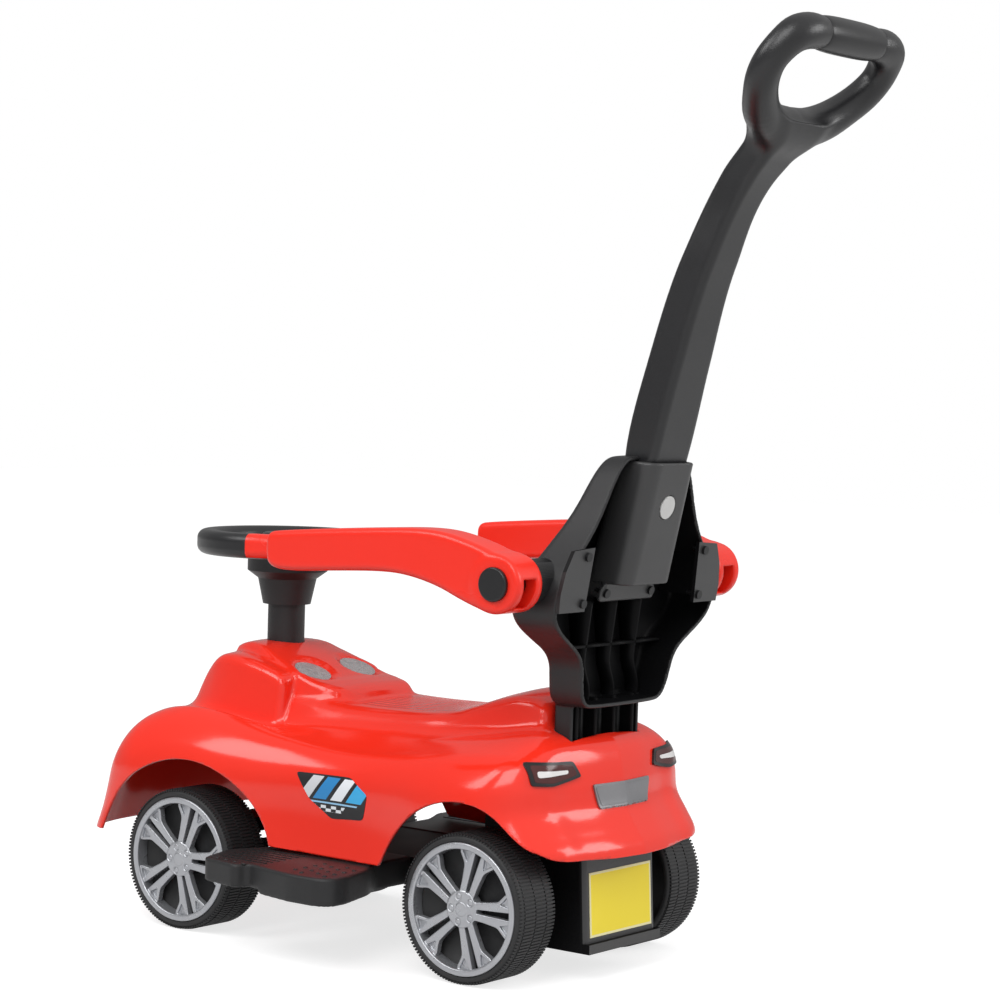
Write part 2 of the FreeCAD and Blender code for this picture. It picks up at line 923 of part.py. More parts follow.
def beam_taper():
    # Beyond the kingpin boss's own width the bar narrows, so that the wheel can turn round it.
    start_y = kingpin_y - beam_taper_len
    shapes = []
    for side in (1, -1):
        outer = V(wheelbase + side * (beam_half_x + overrun), kingpin_y + overrun, beam_low - overrun)
        near = V(wheelbase + side * kingpin_boss_r, kingpin_y, outer.z)
        tip = V(near.x, outer.y, outer.z)
        back = V(wheelbase + side * beam_half_x, start_y, outer.z)
        wide = V(outer.x, start_y, outer.z)
        shapes.append(solid_of(polygon([near, tip, outer, wide, back]), V(0, 0, hood_top)))
    return shapes[0].fuse(shapes[1])


def front_screw_places():
    return [V(boss_front_x, side * boss_front_y, beam_low) for side in (1, -1)]


def steering_arm(x, y, low):
    arm = box(x - arm_len, x, y - arm_w / 2, y + arm_w / 2, low, low + arm_t)
    end = rod(V(x - arm_len, y, low), V(0, 0, 1), arm_w / 2, arm_t)
    pin = rod(V(x - arm_len, y, low), V(0, 0, 1), link_pin_r, arm_t + link_t + move_gap * 2)
    return [arm, end, pin]


def knuckle():
    up = V(0, 0, 1)
    body_h = beam_boss_low - move_gap - knuckle_low
    body = rod(V(wheelbase, kingpin_y, knuckle_low), up, kingpin_boss_r, body_h)
    pin = rod(V(wheelbase, kingpin_y, knuckle_low), up, kingpin_r, beam_top + clip_t * 2 - knuckle_low)
    stub = rod(V(wheelbase, kingpin_y, tyre_r), V(0, 1, 0), axle_r, wheel_out - axle_short - kingpin_y)
    return fuse_all([body, pin, stub] + steering_arm(wheelbase, kingpin_y, arm_low))


def kingpin_clip():
    ring = rod(V(wheelbase, kingpin_y, beam_top + move_gap), V(0, 0, 1), clip_r, clip_t)
    return ring.cut(rod(V(wheelbase, kingpin_y, 0), V(0, 0, 1), kingpin_r, hood_top))


def tie_rod():
    low = arm_low + arm_t + move_gap
    x = wheelbase - arm_len
    crank_x = column_x - arm_len
    middle = (x + crank_x) / 2
    half = link_w / 2
    bar = box(middle - half, middle + half, -kingpin_y, kingpin_y, low, low + link_t)
    ends = both_sides(rod(V(middle, kingpin_y, low), V(0, 0, 1), half, link_t))
    bores = both_sides(rod(V(x, kingpin_y, 0), V(0, 0, 1), link_pin_r + run_gap, hood_top))
    bores.append(rod(V(crank_x, 0, 0), V(0, 0, 1), link_pin_r + run_gap, hood_top))
    return bar.multiFuse(ends).cut(bores)


def steering_rod():
    shaft = rod(V(column_x, 0, arm_low), V(0, 0, 1), rod_r, steer_low + steer_h / 2 - arm_low)
    end = rod(V(column_x, 0, arm_low), V(0, 0, 1), arm_w / 2, arm_t)
    return fuse_all([shaft, end] + steering_arm(column_x, 0, arm_low))


# Steering wheel

def on_column(shape):
    return shape.translated(V(column_x, 0, 0)).cut(rod_hole())


def rod_hole():
    return rod(V(column_x, 0, 0), V(0, 0, 1), rod_r, steer_low + steer_h / 2)


def steering_column():
    return on_column(rod(V(0, 0, column_low), V(0, 0, 1), column_r, bell_low - column_low))


def steering_bell():
    points = [
        V(0, 0, bell_low),
        V(bell_neck_r, 0, bell_low),
        V(bell_cone_r, 0, bell_cone_z),
        V(bell_flange_r, 0, bell_flange_z),
        V(bell_flange_r, 0, bell_top),
        V(0, 0, bell_top),
    ]
    return on_column(revolved(points, [0] * len(points), V(0, 0, 1)))


def rim_ring(low, high, grow, radius):
    inner = steer_r - steer_rim_w - grow
    outer = steer_r + grow
    points = [V(inner, 0, low), V(outer, 0, low), V(outer, 0, high), V(inner, 0, high)]
    return revolved(points, [radius] * len(points), V(0, 0, 1))


def insert_sector(turn_deg):
    # A strip over the top and the outer face of the rim
    ring = rim_ring(steer_low - insert_t, steer_low + steer_h + insert_t, insert_t, 0)
    ring = ring.cut(rod(V(0, 0, 0), V(0, 0, 1), steer_r - insert_t, steer_low + steer_h - insert_t))
    half = math.radians(insert_span_deg / 2)
    turn = math.radians(turn_deg)
    far = steer_r * 2
    reach = [V(math.cos(turn + s * half) * far, math.sin(turn + s * half) * far, 0) for s in (-1, 1)]
    wedge = solid_of(polygon([V(0, 0, 0)] + reach), V(0, 0, steer_low * 2))
    return ring.common(wedge)


def steering_wheel():
    rim = rim_ring(steer_low, steer_low + steer_h, 0, steer_round)
    hub = rod(V(0, 0, bell_top), V(0, 0, 1), steer_hub_r, steer_h - pad_h)
    spokes = []
    for turn in steer_spoke_deg:
        half = steer_spoke_w / 2
        reach = steer_r - steer_rim_w / 2
        bar = box(0, reach, -half, half, steer_low, steer_low + steer_spoke_t)
        spokes.append(bar.rotated(V(0, 0, 0), V(0, 0, 1), turn))
    wheel = fuse_all([rim, hub] + spokes)
    for turn in insert_deg:
        wheel = wheel.cut(insert_sector(turn))
    return on_column(wheel)


def steering_inserts():
    rim = rim_ring(steer_low, steer_low + steer_h, 0, steer_round)
    pieces = [insert_sector(turn).common(rim) for turn in insert_deg]
    return on_column(Part.makeCompound(pieces))


def hub_pad():
    low = bell_top + steer_h - pad_h
    pad = rod(V(column_x, 0, low), V(0, 0, 1), pad_r, pad_h)
    return pad.makeFillet(pad_h / 2, [e for e in pad.Edges if e.BoundBox.ZMin > low + pad_h / 2])


# Backrest

def rim_at(z):
    return rim_x - rim_lean_share * (z - back_low)


def back_outline(inset):
    half = [V(0, w * back_half, back_low + v * back_h) for w, v in back_shares]
    points = half + [V(0, -p.y, p.z) for p in half[::-1]]
    wire = rounded_wire(points, [back_round] * len(points))
    return wire.makeOffset2D(-inset) if inset else wire


def back_prism(inset):
    reach = back_h
    return solid_of(back_outline(inset), V(reach * 2, 0, 0)).translated(V(-reach, 0, 0))


def back_side(front_inset, rear_grow):
    low = back_low - overrun
    high = back_top + overrun
    front = []
    for v, depth in back_depth_shares:
        z = back_low + v * back_h
        front.append(V(rim_at(z) + depth * back_depth - front_inset, 0, z))
    top_x = front[-1].x - (high - front[-1].z) * rim_lean_share
    front = [V(front[0].x, 0, low)] + front + [V(top_x, 0, high)]
    rear = [V(rim_at(high) - rear_grow, 0, high), V(rim_at(low) - rear_grow, 0, low)]
    return across(polygon(front + rear), back_half * 2)


def back_cavity(gap):
    return back_prism(back_wall + gap).common(back_side(back_wall + gap, overrun))


def back_ribs():
    cavity = back_cavity(0)
    deep = back_depth * rib_depth_share
    ribs = []
    top = back_low + back_h * rib_top_share
    for y in (-rib_y, 0, rib_y):
        ribs.append(box(-back_h, 0, y - rib_t / 2, y + rib_t / 2, back_low, top))
    cross_z = back_low + back_h * cross_rib_share
    ribs.append(box(-back_h, 0, -back_half, back_half, cross_z, cross_z + rib_t))
    inner = back_side(0, -deep)
    return [r.common(cavity).common(inner) for r in ribs]


def bracket_screw_places():
    places = []
    for w, v in bracket_screw_shares:
        z = back_low + v * back_h
        places += [V(rim_at(z) - bracket_t, side * w * back_half, z) for side in (1, -1)]
    return places


def rim_normal():
    return V(1, 0, rim_lean_share).normalize()


def back_bosses():
    cavity = back_cavity(0).common(back_side(0, 0))
    bosses = [rod(at, rim_normal(), back_boss_r, overrun * 2) for at in bracket_screw_places()]
    bosses += [rod(at, socket_forward(), back_boss_r, overrun * 2) for at in flange_screw_seats()]
    return [b.common(cavity) for b in bosses]


def backrest_shell():
    shell = back_prism(0).common(back_side(0, 0)).cut(back_cavity(0))
    shell = shell.multiFuse(back_ribs() + back_bosses() + [post_box(0, box_top)])
    journals = both_sides(rod(V(pivot_x, 0, pivot_z), V(0, 1, 0), journal_r, back_half * 2))
    screws = holes(bracket_screw_places(), rim_normal())
    screws += holes(flange_screw_places(), socket_forward())
    screws += holes(box_screw_places(), V(0, 0, 1))
    return shell.cut(journals + screws + [socket_space()])


def socket_forward():
    lean = math.radians(socket_lean_deg)
    return V(math.cos(lean), 0, math.sin(lean))


def in_socket(shape):
    moved = shape.translated(V(socket_x, 0, socket_z))
    return moved.rotated(V(socket_x, 0, socket_z), V(0, 1, 0), -socket_lean_deg)


def rounded_bar(half_x, half_y, low, high, radius):
    corners = [(1, 1), (-1, 1), (-1, -1), (1, -1)]
    points = [V(a * half_x, b * half_y, low) for a, b in corners]
    return solid_of(rounded_wire(points, [radius] * len(points)), V(0, 0, high - low))


def flange_plate():
    back = flange_x - flange_t
    return in_socket(box(back, flange_x, -flange_half, flange_half, -flange_drop, stem_start))


def socket_space():
    half_x = socket_half_x + seat_gap
    half_y = socket_half_y + seat_gap
    return in_socket(rounded_bar(half_x, half_y, 0, socket_h + overrun, socket_round))


def flange_points(x):
    points = []
    for side in (1, -1):
        moved = in_socket(Part.Vertex(x, side * flange_screw_y, -flange_drop / 2))
        points.append(V(moved.X, moved.Y, moved.Z))
    return points


def flange_screw_places():
    return flange_points(flange_x - flange_t)


def flange_screw_seats():
    return flange_points(flange_x)


def handle_socket():
    tube = rounded_bar(socket_half_x, socket_half_y, 0, socket_h, socket_round)
    hollow_x = stem_half_x + seat_gap
    hollow_y = stem_half_y + seat_gap
    hollow = rounded_bar(hollow_x, hollow_y, stem_start, socket_h + overrun, stem_round)
    tube = in_socket(tube).fuse(flange_plate()).cut(in_socket(hollow))
    return tube.cut([button_bore()] + holes(flange_screw_places(), socket_forward()))


def button_bore():
    start = V(-socket_half_x - overrun, 0, button_up)
    return in_socket(rod(start, V(1, 0, 0), button_r + run_gap, overrun + socket_half_x))


def lock_button():
    start = -socket_half_x - button_proud
    body = rod(V(start, 0, button_up), V(1, 0, 0), button_r, button_len)
    flange_start = start + button_len - button_flange_t
    flange = rod(V(flange_start, 0, button_up), V(1, 0, 0), button_flange_r, button_flange_t)
    return in_socket(body.fuse(flange))


def arm_bracket():
    points = [V(0, w * back_half, back_low + v * back_h) for w, v in bracket_shares]
    wall_box = solid_of(polygon(points), V(back_h * 2, 0, 0)).translated(V(-back_h, 0, 0))
    plate = wall_box.common(back_side(0, bracket_t)).cut(back_side(0, 0))
    half = block_h / 2
    inner = box(pivot_x - block_reach, 0, block_y_low, back_half, pivot_z - half, pivot_z + half)
    inner = inner.common(back_cavity(seat_gap)).common(back_side(0, bracket_t))
    root = V(pivot_x, block_y_low, pivot_z)
    journal = rod(root, V(0, 1, 0), journal_r, guard_out + move_gap - block_y_low)
    collar = rod(root, V(0, 1, 0), collar_r, guard_in - move_gap - block_y_low).cut(back_prism(0))
    screws = holes(bracket_screw_places(), rim_normal())
    return fuse_all([plate, inner, journal, collar]).cut(screws)


def pivot_cap():
    cap = rod(V(pivot_x, guard_out + move_gap, pivot_z), V(0, 1, 0), cap_r, cap_t)
    return cap.makeFillet(cap_t / 2, [e for e in cap.Edges if e.BoundBox.YMin > guard_out + cap_t / 2])


def guard_outline():
    points = [V(pivot_x, guard_in, pivot_z + drum_r)]
    for u, h in guard_shares:
        points.append(V(pivot_x + u * guard_reach, guard_in, pivot_z + h * guard_rise))
    points.append(V(pivot_x, guard_in, pivot_z - drum_r))
    return rounded_wire(points, guard_radii())


def guard_pocket():
    # The arm is a channel, open below between the drum and the front end.
    thick = guard_out - guard_in
    core = solid_of(guard_outline().makeOffset2D(-guard_wall), V(0, thick - guard_wall * 2, 0))
    core = core.translated(V(0, guard_wall, 0))
    core = core.fuse(core.translated(V(0, 0, -guard_round)))
    start = pivot_x + drum_r + guard_wall
    return core.common(box(start, guard_reach, 0, guard_out, 0, back_top))


def guard_arm():
    thick = guard_out - guard_in
    bar = solid_of(guard_outline(), V(0, thick, 0)).cut(guard_pocket())
    drum = rod(V(pivot_x, guard_in, pivot_z), V(0, 1, 0), drum_r, thick)
    bore = rod(V(pivot_x, 0, pivot_z), V(0, 1, 0), journal_r + run_gap, guard_out * 2)
    slot_in = (guard_in + guard_out - slot_w) / 2
    slot_low = pivot_z - drum_r * slot_share
    slot = box(pivot_x - drum_r, pivot_x, slot_in, slot_in + slot_w, slot_low, pivot_z)
    return bar.fuse(drum).cut([bore, slot])


def guard_radii():
    # The front end is rounder than the rest of the outline, and the two ends meet the drum square.
    highest = max(u for u, h in guard_shares)
    radii = [guard_round if u == highest else guard_bend for u, h in guard_shares]
    return [0] + radii + [0]


# Push handle

def stem_section(at, direction, half_x, half_y, radius):
    forward = V(0, 1, 0).cross(direction).normalize()
    corners = [(1, 1), (-1, 1), (-1, -1), (1, -1)]
    points = [at + forward * (a * half_x) + V(0, b * half_y, 0) for a, b in corners]
    return rounded_wire(points, [radius] * len(points))


def stem_places():
    places = []
    for back, up, wide, deep in stem_shares:
        places.append((V(stem_x - back * stem_run, 0, stem_z + up * stem_rise), wide, deep))
    return places


def handle_form(inset):
    lean = math.radians(socket_lean_deg)
    up = V(-math.sin(lean), 0, math.cos(lean))
    half_x = stem_half_x - inset
    half_y = stem_half_y - inset
    radius = stem_round - inset
    plug = in_socket(rounded_bar(half_x, half_y, stem_start - inset, socket_h, radius))
    places = stem_places()
    top = V(socket_x, 0, socket_z) + up * socket_h
    wires = [stem_section(top, up, half_x, half_y, radius)]
    for i in range(1, len(places)):
        at, wide, deep = places[i]
        before = places[i - 1][0]
        after = places[i + 1][0] if i + 1 < len(places) else at + loop_dir * neck_rise
        direction = (after - before).normalize()
        section = (stem_half_x * deep - inset, stem_half_y * wide - inset)
        wires.append(stem_section(at, direction, section[0], section[1], radius))
    neck = loop_base + loop_dir * neck_rise
    wires.append(stem_section(neck, loop_dir, loop_tube_r - inset, neck_half - inset, radius))
    stem = Part.makeLoft(wires, True, False)
    return fuse_all([plug, stem, loop_tube(loop_tube_r - inset)])


def push_handle():
    return handle_form(0).cut([handle_form(stem_wall), button_bore()])


def loop_point(y, s):
    return loop_base + loop_dir * s + V(0, y, 0)


def loop_tube(radius):
    half = [loop_point(w * loop_half, v * loop_top) for w, v in loop_shares]
    points = half + [V(p.x, -p.y, p.z) for p in half[::-1]]
    radii = [r * loop_half for r in loop_round_shares]
    path = rounded_wire(points, radii + radii[::-1])
    start = path.Edges[0].valueAt(path.Edges[0].FirstParameter)
    tangent = path.Edges[0].tangentAt(path.Edges[0].FirstParameter)
    ring = Part.Wire([Part.makeCircle(radius, start, tangent)])
    return path.makePipeShell([ring], True, False)


def handle_grip():
    points = [
        V(loop_tube_r, -grip_half, 0),
        V(grip_end_r, -grip_half, 0),
        V(grip_mid_r, 0, 0),
        V(grip_end_r, grip_half, 0),
        V(loop_tube_r, grip_half, 0),
    ]
    edges = [
        Part.LineSegment(points[0], points[1]).toShape(),
        Part.Arc(points[1], points[2], points[3]).toShape(),
        Part.LineSegment(points[3], points[4]).toShape(),
        Part.LineSegment(points[4], points[0]).toShape(),
    ]
    sleeve = Part.Face(Part.Wire(edges)).revolve(V(0, 0, 0), V(0, 1, 0), full_turn_deg)
    return sleeve.translated(grip_centre)


def write(name, shape):
    moved = shape.translated(V(-middle_x, 0, 0))
    moved.exportStep("parts/" + name + ".step")
    print(name, moved.isValid(), len(moved.Solids), round(moved.Volume))


def write_pair(name, shape):
    write(name + "_left", shape)
    write(name + "_right", mirrored(shape))


def main():
    os.makedirs("parts", exist_ok=True)
    outer = body_form(0)
    skin = body_form(-sticker_t).cut([body_form(-sticker_gap), outer])
    write("body_shell", body_shell(outer))
    write("number_plate", number_plate(skin))
    write_pair("tail_lamp", tail_lamp(skin))
    write_pair("dash_dial", dash_dial())
    write("chassis_pan", chassis_pan())
    write("rear_axle_box", axle_box())
    write("rear_sticker", rear_sticker())
    write("rear_axle", rear_axle())
    write_pair("footboard", footboard())
    write("front_axle_beam", front_axle_beam())
    write_pair("knuckle", knuckle())
    write_pair("kingpin_clip", kingpin_clip())
    write("tie_rod", tie_rod())
    write("steering_rod", steering_rod())
    write("steering_column", steering_column())
    write("steering_bell", steering_bell())
    write("steering_wheel", steering_wheel())
    write("steering_inserts", steering_inserts())
    write("hub_pad", hub_pad())
    for end, x in (("front", wheelbase), ("rear", 0)):
        write_pair(end + "_tyre", at_axle(tyre_body(), x))
        write_pair(end + "_wheel_cover", at_axle(wheel_cover(), x))
        write_pair(end + "_push_nut", at_axle(push_nut(), x))
    write("backrest_shell", backrest_shell())
    write("handle_socket", handle_socket())
    write_pair("arm_bracket", arm_bracket())
    write_pair("pivot_cap", pivot_cap())
    write_pair("guard_arm", guard_arm())
    write("push_handle", push_handle())
    write("handle_grip", handle_grip())
    write("lock_button", lock_button())
    up = V(0, 0, 1)
    write("pan_screws", screw_set(pan_screw_places(), up))
    write("box_screws", screw_set(box_screw_places(), up))
    write("beam_screws", screw_set(beam_screw_places() + front_screw_places(), up))
    boards = screw_set(board_screw_places(), V(0, 1, 0))
    write("footboard_screws", Part.makeCompound(both_sides(boards)))
    write("bracket_screws", screw_set(bracket_screw_places(), rim_normal()))
    write("socket_screws", screw_set(flange_screw_places(), socket_forward()))


main()
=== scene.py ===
import json
import math

import bmesh
import bpy
import numpy as np
from mathutils import Matrix, Vector

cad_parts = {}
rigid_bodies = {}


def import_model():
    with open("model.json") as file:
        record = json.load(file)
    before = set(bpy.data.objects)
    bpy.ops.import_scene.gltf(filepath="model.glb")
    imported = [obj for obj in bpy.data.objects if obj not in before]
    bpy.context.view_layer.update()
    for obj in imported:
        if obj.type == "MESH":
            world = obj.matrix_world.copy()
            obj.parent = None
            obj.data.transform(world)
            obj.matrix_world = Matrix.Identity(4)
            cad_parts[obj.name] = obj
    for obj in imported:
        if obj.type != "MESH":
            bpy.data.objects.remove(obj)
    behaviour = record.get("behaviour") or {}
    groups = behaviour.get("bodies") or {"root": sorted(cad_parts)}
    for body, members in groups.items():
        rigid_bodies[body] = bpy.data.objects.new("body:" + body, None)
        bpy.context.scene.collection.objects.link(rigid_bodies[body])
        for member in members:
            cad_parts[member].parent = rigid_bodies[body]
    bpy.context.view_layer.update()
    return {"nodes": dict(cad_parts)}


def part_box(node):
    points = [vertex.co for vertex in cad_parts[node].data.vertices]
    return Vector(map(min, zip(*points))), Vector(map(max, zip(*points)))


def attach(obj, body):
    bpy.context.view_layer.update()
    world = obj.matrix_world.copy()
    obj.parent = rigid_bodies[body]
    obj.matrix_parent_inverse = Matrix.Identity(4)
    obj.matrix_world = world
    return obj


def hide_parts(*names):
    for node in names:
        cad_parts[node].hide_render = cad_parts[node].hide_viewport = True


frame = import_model()
print("frame loaded:", len(frame["nodes"]), "nodes")

# All shapes below are worked out in millimetres from the point on the floor under the rear axle,
# x forward, y left, z up, and then moved into the frame in metres.
mm = 0.001
axleLow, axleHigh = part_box("rear_axle")
axleX = (axleLow.x + axleHigh.x) / 2


def toFrame(points):
    return np.asarray(points, float) * mm + np.array([axleX, 0, 0])


def fromFrame(v):
    return np.array([(v.x - axleX) / mm, v.y / mm, v.z / mm])


# Shader groups

def newGroup(name, inputs, outputs):
    group = bpy.data.node_groups.new(name, "ShaderNodeTree")
    for label, kind, value in inputs:
        made = group.interface.new_socket(name=label, in_out="INPUT", socket_type="NodeSocket" + kind)
        made.default_value = value
    for label, kind in outputs:
        group.interface.new_socket(name=label, in_out="OUTPUT", socket_type="NodeSocket" + kind)
    return group, group.nodes.new("NodeGroupInput"), group.nodes.new("NodeGroupOutput")


def feed(tree, node, feeds):
    # What goes into each input: a value, or another node's output
    for key, value in feeds.items():
        if isinstance(value, bpy.types.NodeSocket):
            tree.links.new(value, node.inputs[key])
        else:
            node.inputs[key].default_value = value
    return node


def addNode(tree, kind, feeds=None, **settings):
    node = tree.nodes.new(kind)
    for key, value in settings.items():
        setattr(node, key, value)
    return feed(tree, node, feeds or {})


def maths(tree, operation, *values):
    return addNode(tree, "ShaderNodeMath", dict(enumerate(values)), operation=operation).outputs[0]


def mixed(tree, share, a, b):
    return addNode(tree, "ShaderNodeMix", {"Factor": share, 6: a, 7: b}, data_type="RGBA").outputs[2]


def place(tree):
    return addNode(tree, "ShaderNodeTexCoord").outputs["Object"]


def moulding():
    # Slow drift of tone and gloss over a moulding, and the fine grain of its tool
    group, start, end = newGroup(
        "moulding",
        [("Tone", "Color", (0.8, 0.1, 0.1, 1)), ("Deep tone", "Color", (0.6, 0.05, 0.05, 1)),
         ("Drift", "Float", 14.0), ("Gloss low", "Float", 0.2), ("Gloss high", "Float", 0.3),
         ("Grain", "Float", 700.0), ("Grain depth", "Float", 0.05)],
        [("Tone", "Color"), ("Roughness", "Float"), ("Normal", "Vector")],
    )
    given, at = start.outputs, place(group)
    noise = addNode(group, "ShaderNodeTexNoise", {"Vector": at, "Scale": given["Drift"], "Detail": 3})
    drift = noise.outputs["Fac"]
    gloss = addNode(group, "ShaderNodeMapRange",
                    {"Value": drift, "To Min": given["Gloss low"], "To Max": given["Gloss high"]})
    grain = addNode(group, "ShaderNodeTexNoise", {"Vector": at, "Scale": given["Grain"], "Detail": 2})
    bump = addNode(group, "ShaderNodeBump",
                   {"Height": grain.outputs["Fac"], "Strength": given["Grain depth"], "Distance": 0.0006})
    feed(group, end, {"Tone": mixed(group, drift, given["Tone"], given["Deep tone"]),
                      "Roughness": gloss.outputs["Result"], "Normal": bump.outputs["Normal"]})
    return group


mouldingGroup = moulding()


def finish(name, values):
    tone, deepTone, drift, gloss, grain, specular, metallic = values
    made = bpy.data.materials.new(name)
    made.use_nodes = True
    tree = made.node_tree
    skin = addNode(tree, "ShaderNodeGroup", node_tree=mouldingGroup)
    feed(tree, skin, {
        "Tone": tone + (1,), "Deep tone": deepTone + (1,), "Drift": drift, "Gloss low": gloss[0],
        "Gloss high": gloss[1], "Grain": grain[0], "Grain depth": grain[1],
    })
    feed(tree, tree.nodes["Principled BSDF"], {
        "Metallic": metallic, "Specular IOR Level": specular, "Base Color": skin.outputs["Tone"],
        "Roughness": skin.outputs["Roughness"], "Normal": skin.outputs["Normal"],
    })
    return made


def openFinish(name, values):
    # A finish to build on: the material, its tree and its shader
    made = finish(name, values)
    return made, made.node_tree, made.node_tree.nodes["Principled BSDF"]


def fedBy(shader, label):
    return shader.inputs[label].links[0].from_socket


# tone, deep tone, scale of the drift between them, roughness, grain's scale and depth, specular, metallic
finishes = {
    "redGloss": ((0.90, 0.031, 0.014), (0.86, 0.026, 0.011), 9, (0.11, 0.17), (900, 0.03), 0.5, 0.0),
    "redSatin": ((0.93, 0.028, 0.013), (0.89, 0.024, 0.010), 11, (0.24, 0.32), (1100, 0.08), 0.42, 0.0),
    "blackSatin": ((0.020, 0.020, 0.021), (0.014, 0.014, 0.015), 16, (0.40, 0.50), (1500, 0.35), 0.38, 0.0),
    "blackGrain": ((0.013, 0.013, 0.0145), (0.009, 0.009, 0.010), 20, (0.27, 0.36), (1300, 0.25), 0.5, 0.0),
    # A darker copy of the black, used as painted shade on faces and parts that lie in shadow
    "blackDeep": ((0.006, 0.006, 0.0065), (0.004, 0.004, 0.0045), 18, (0.45, 0.55), (1200, 0.3), 0.12, 0.0),
    "blackSmooth": ((0.012, 0.012, 0.013), (0.008, 0.008, 0.009), 18, (0.26, 0.34), (900, 0.1), 0.4, 0.0),
    "greySatin": ((0.040, 0.040, 0.041), (0.031, 0.031, 0.032), 18, (0.32, 0.42), (1500, 0.3), 0.5, 0.0),
    "tyreBlack": ((0.026, 0.026, 0.027), (0.017, 0.017, 0.018), 30, (0.46, 0.58), (1600, 0.3), 0.4, 0.0),
    "silverLacquer": ((0.49, 0.50, 0.52), (0.41, 0.42, 0.45), 40, (0.24, 0.32), (2600, 0.18), 0.45, 0.7),
    "lensPale": ((0.84, 0.83, 0.82), (0.70, 0.68, 0.68), 120, (0.10, 0.18), (900, 0.1), 0.5, 0.0),
    "lensRed": ((0.085, 0.012, 0.011), (0.045, 0.007, 0.007), 90, (0.08, 0.14), (900, 0.1), 0.5, 0.0),
    "dialSilver": ((0.66, 0.64, 0.64), (0.22, 0.20, 0.21), 190, (0.20, 0.34), (700, 0.5), 0.5, 0.4),
    "buttonGrey": ((0.66, 0.66, 0.65), (0.58, 0.58, 0.57), 60, (0.40, 0.5), (1500, 0.3), 0.3, 0.0),
    "zincSteel": ((0.46, 0.47, 0.49), (0.36, 0.37, 0.40), 90, (0.28, 0.42), (1800, 0.3), 0.5, 1.0),
    "darkSteel": ((0.010, 0.010, 0.011), (0.006, 0.006, 0.007), 90, (0.35, 0.45), (1800, 0.3), 0.4, 0.0),
    "yellowFilm": ((0.95, 0.77, 0.055), (0.91, 0.72, 0.040), 18, (0.34, 0.44), (700, 0.12), 0.3, 0.0),
}
materials = {name: finish(name, values) for name, values in finishes.items()}
print("finishes made:", len(materials))


# Shape helpers: curves through listed points, soft unions, and a mesh over a signed field

def curve(rows, at, column=1):
    table = np.array(rows, float)
    xs, ys = table[:, 0], table[:, column]
    slope = np.gradient(ys, xs)
    i = np.clip(np.searchsorted(xs, at) - 1, 0, len(xs) - 2)
    h = xs[i + 1] - xs[i]
    t = np.clip((at - xs[i]) / h, 0, 1)
    a = 2 * t**3 - 3 * t**2 + 1
    b = t**3 - 2 * t**2 + t
    c = t**3 - t**2
    return a * ys[i] + b * h * slope[i] + (1 - a) * ys[i + 1] + c * h * slope[i + 1]


def softMax(a, b, k):
    h = np.clip(k - np.abs(a - b), 0, None) / k
    return np.maximum(a, b) + h * h * k / 4


def softMin(a, b, k):
    return -softMax(-a, -b, k)


def ease(t):
    t = np.clip(t, 0, 1)
    return t * t * (3 - 2 * t)


def roundedOutline(points, rounds=3):
    # Cuts the corners of a closed outline again and again, which leaves smooth curves
    pts = np.array(points, float)
    for _ in range(rounds):
        after = np.roll(pts, -1, 0)
        pts = np.stack([pts * 0.75 + after * 0.25, pts * 0.25 + after * 0.75], 1).reshape(-1, 2)
    return pts


def cornered(points, radius):
    # Rounds each corner of a closed outline by about the given radius
    pts = np.array(points, float)
    made = []
    for i, p in enumerate(pts):
        ends = []
        for other in (pts[i - 1], pts[(i + 1) % len(pts)]):
            d = other - p
            length = np.linalg.norm(d)
            ends.append(p + d / length * min(radius, length * 0.45))
        for t in (0, 0.25, 0.5, 0.75, 1):
            made.append(ends[0] * (1 - t) ** 2 + 2 * p * t * (1 - t) + ends[1] * t**2)
    return np.array(made)


def outlineDistance(outline, u, v):
    best = np.full(u.shape, 1e12)
    inside = np.zeros(u.shape, bool)
    for (ax, ay), (bx, by) in zip(outline, np.roll(outline, -1, 0)):
        ex, ey = bx - ax, by - ay
        wx, wy = u - ax, v - ay
        t = np.clip((wx * ex + wy * ey) / max(ex * ex + ey * ey, 1e-12), 0, 1)
        best = np.minimum(best, (wx - ex * t) ** 2 + (wy - ey * t) ** 2)
        if ay != by:
            crossing = ((ay > v) != (by > v)) & (u < ex * (v - ay) / (by - ay) + ax)
            inside ^= crossing
    return np.where(inside, -1, 1) * np.sqrt(best)


def roundedCorner(a, b, radius):
    # Joins two distances at a rounded corner
    a, b = a + radius, b + radius
    return np.hypot(np.maximum(a, 0), np.maximum(b, 0)) + np.minimum(np.maximum(a, b), 0) - radius


def roundedPrism(outer, w, half, radius):
    # outer is a distance in the plane of the outline, w the distance from its middle plane
    return roundedCorner(outer, np.abs(w) - half, radius)


def roundedBox(p, centre, half, radius):
    q = np.abs(p - np.array(centre, float)) - np.array(half, float) + radius
    return np.linalg.norm(np.maximum(q, 0), axis=-1) + np.minimum(q.max(-1), 0) - radius


def tube(p, points, radii):
    best = np.full(p.shape[:-1], 1e9)
    for a, b, ra, rb in zip(points[:-1], points[1:], radii[:-1], radii[1:]):
        a, b = np.array(a, float), np.array(b, float)
        d = b - a
        t = np.clip(((p - a) @ d) / (d @ d), 0, 1)
        best = np.minimum(best, np.linalg.norm(p - a - t[..., None] * d, axis=-1) - (ra + (rb - ra) * t))
    return best


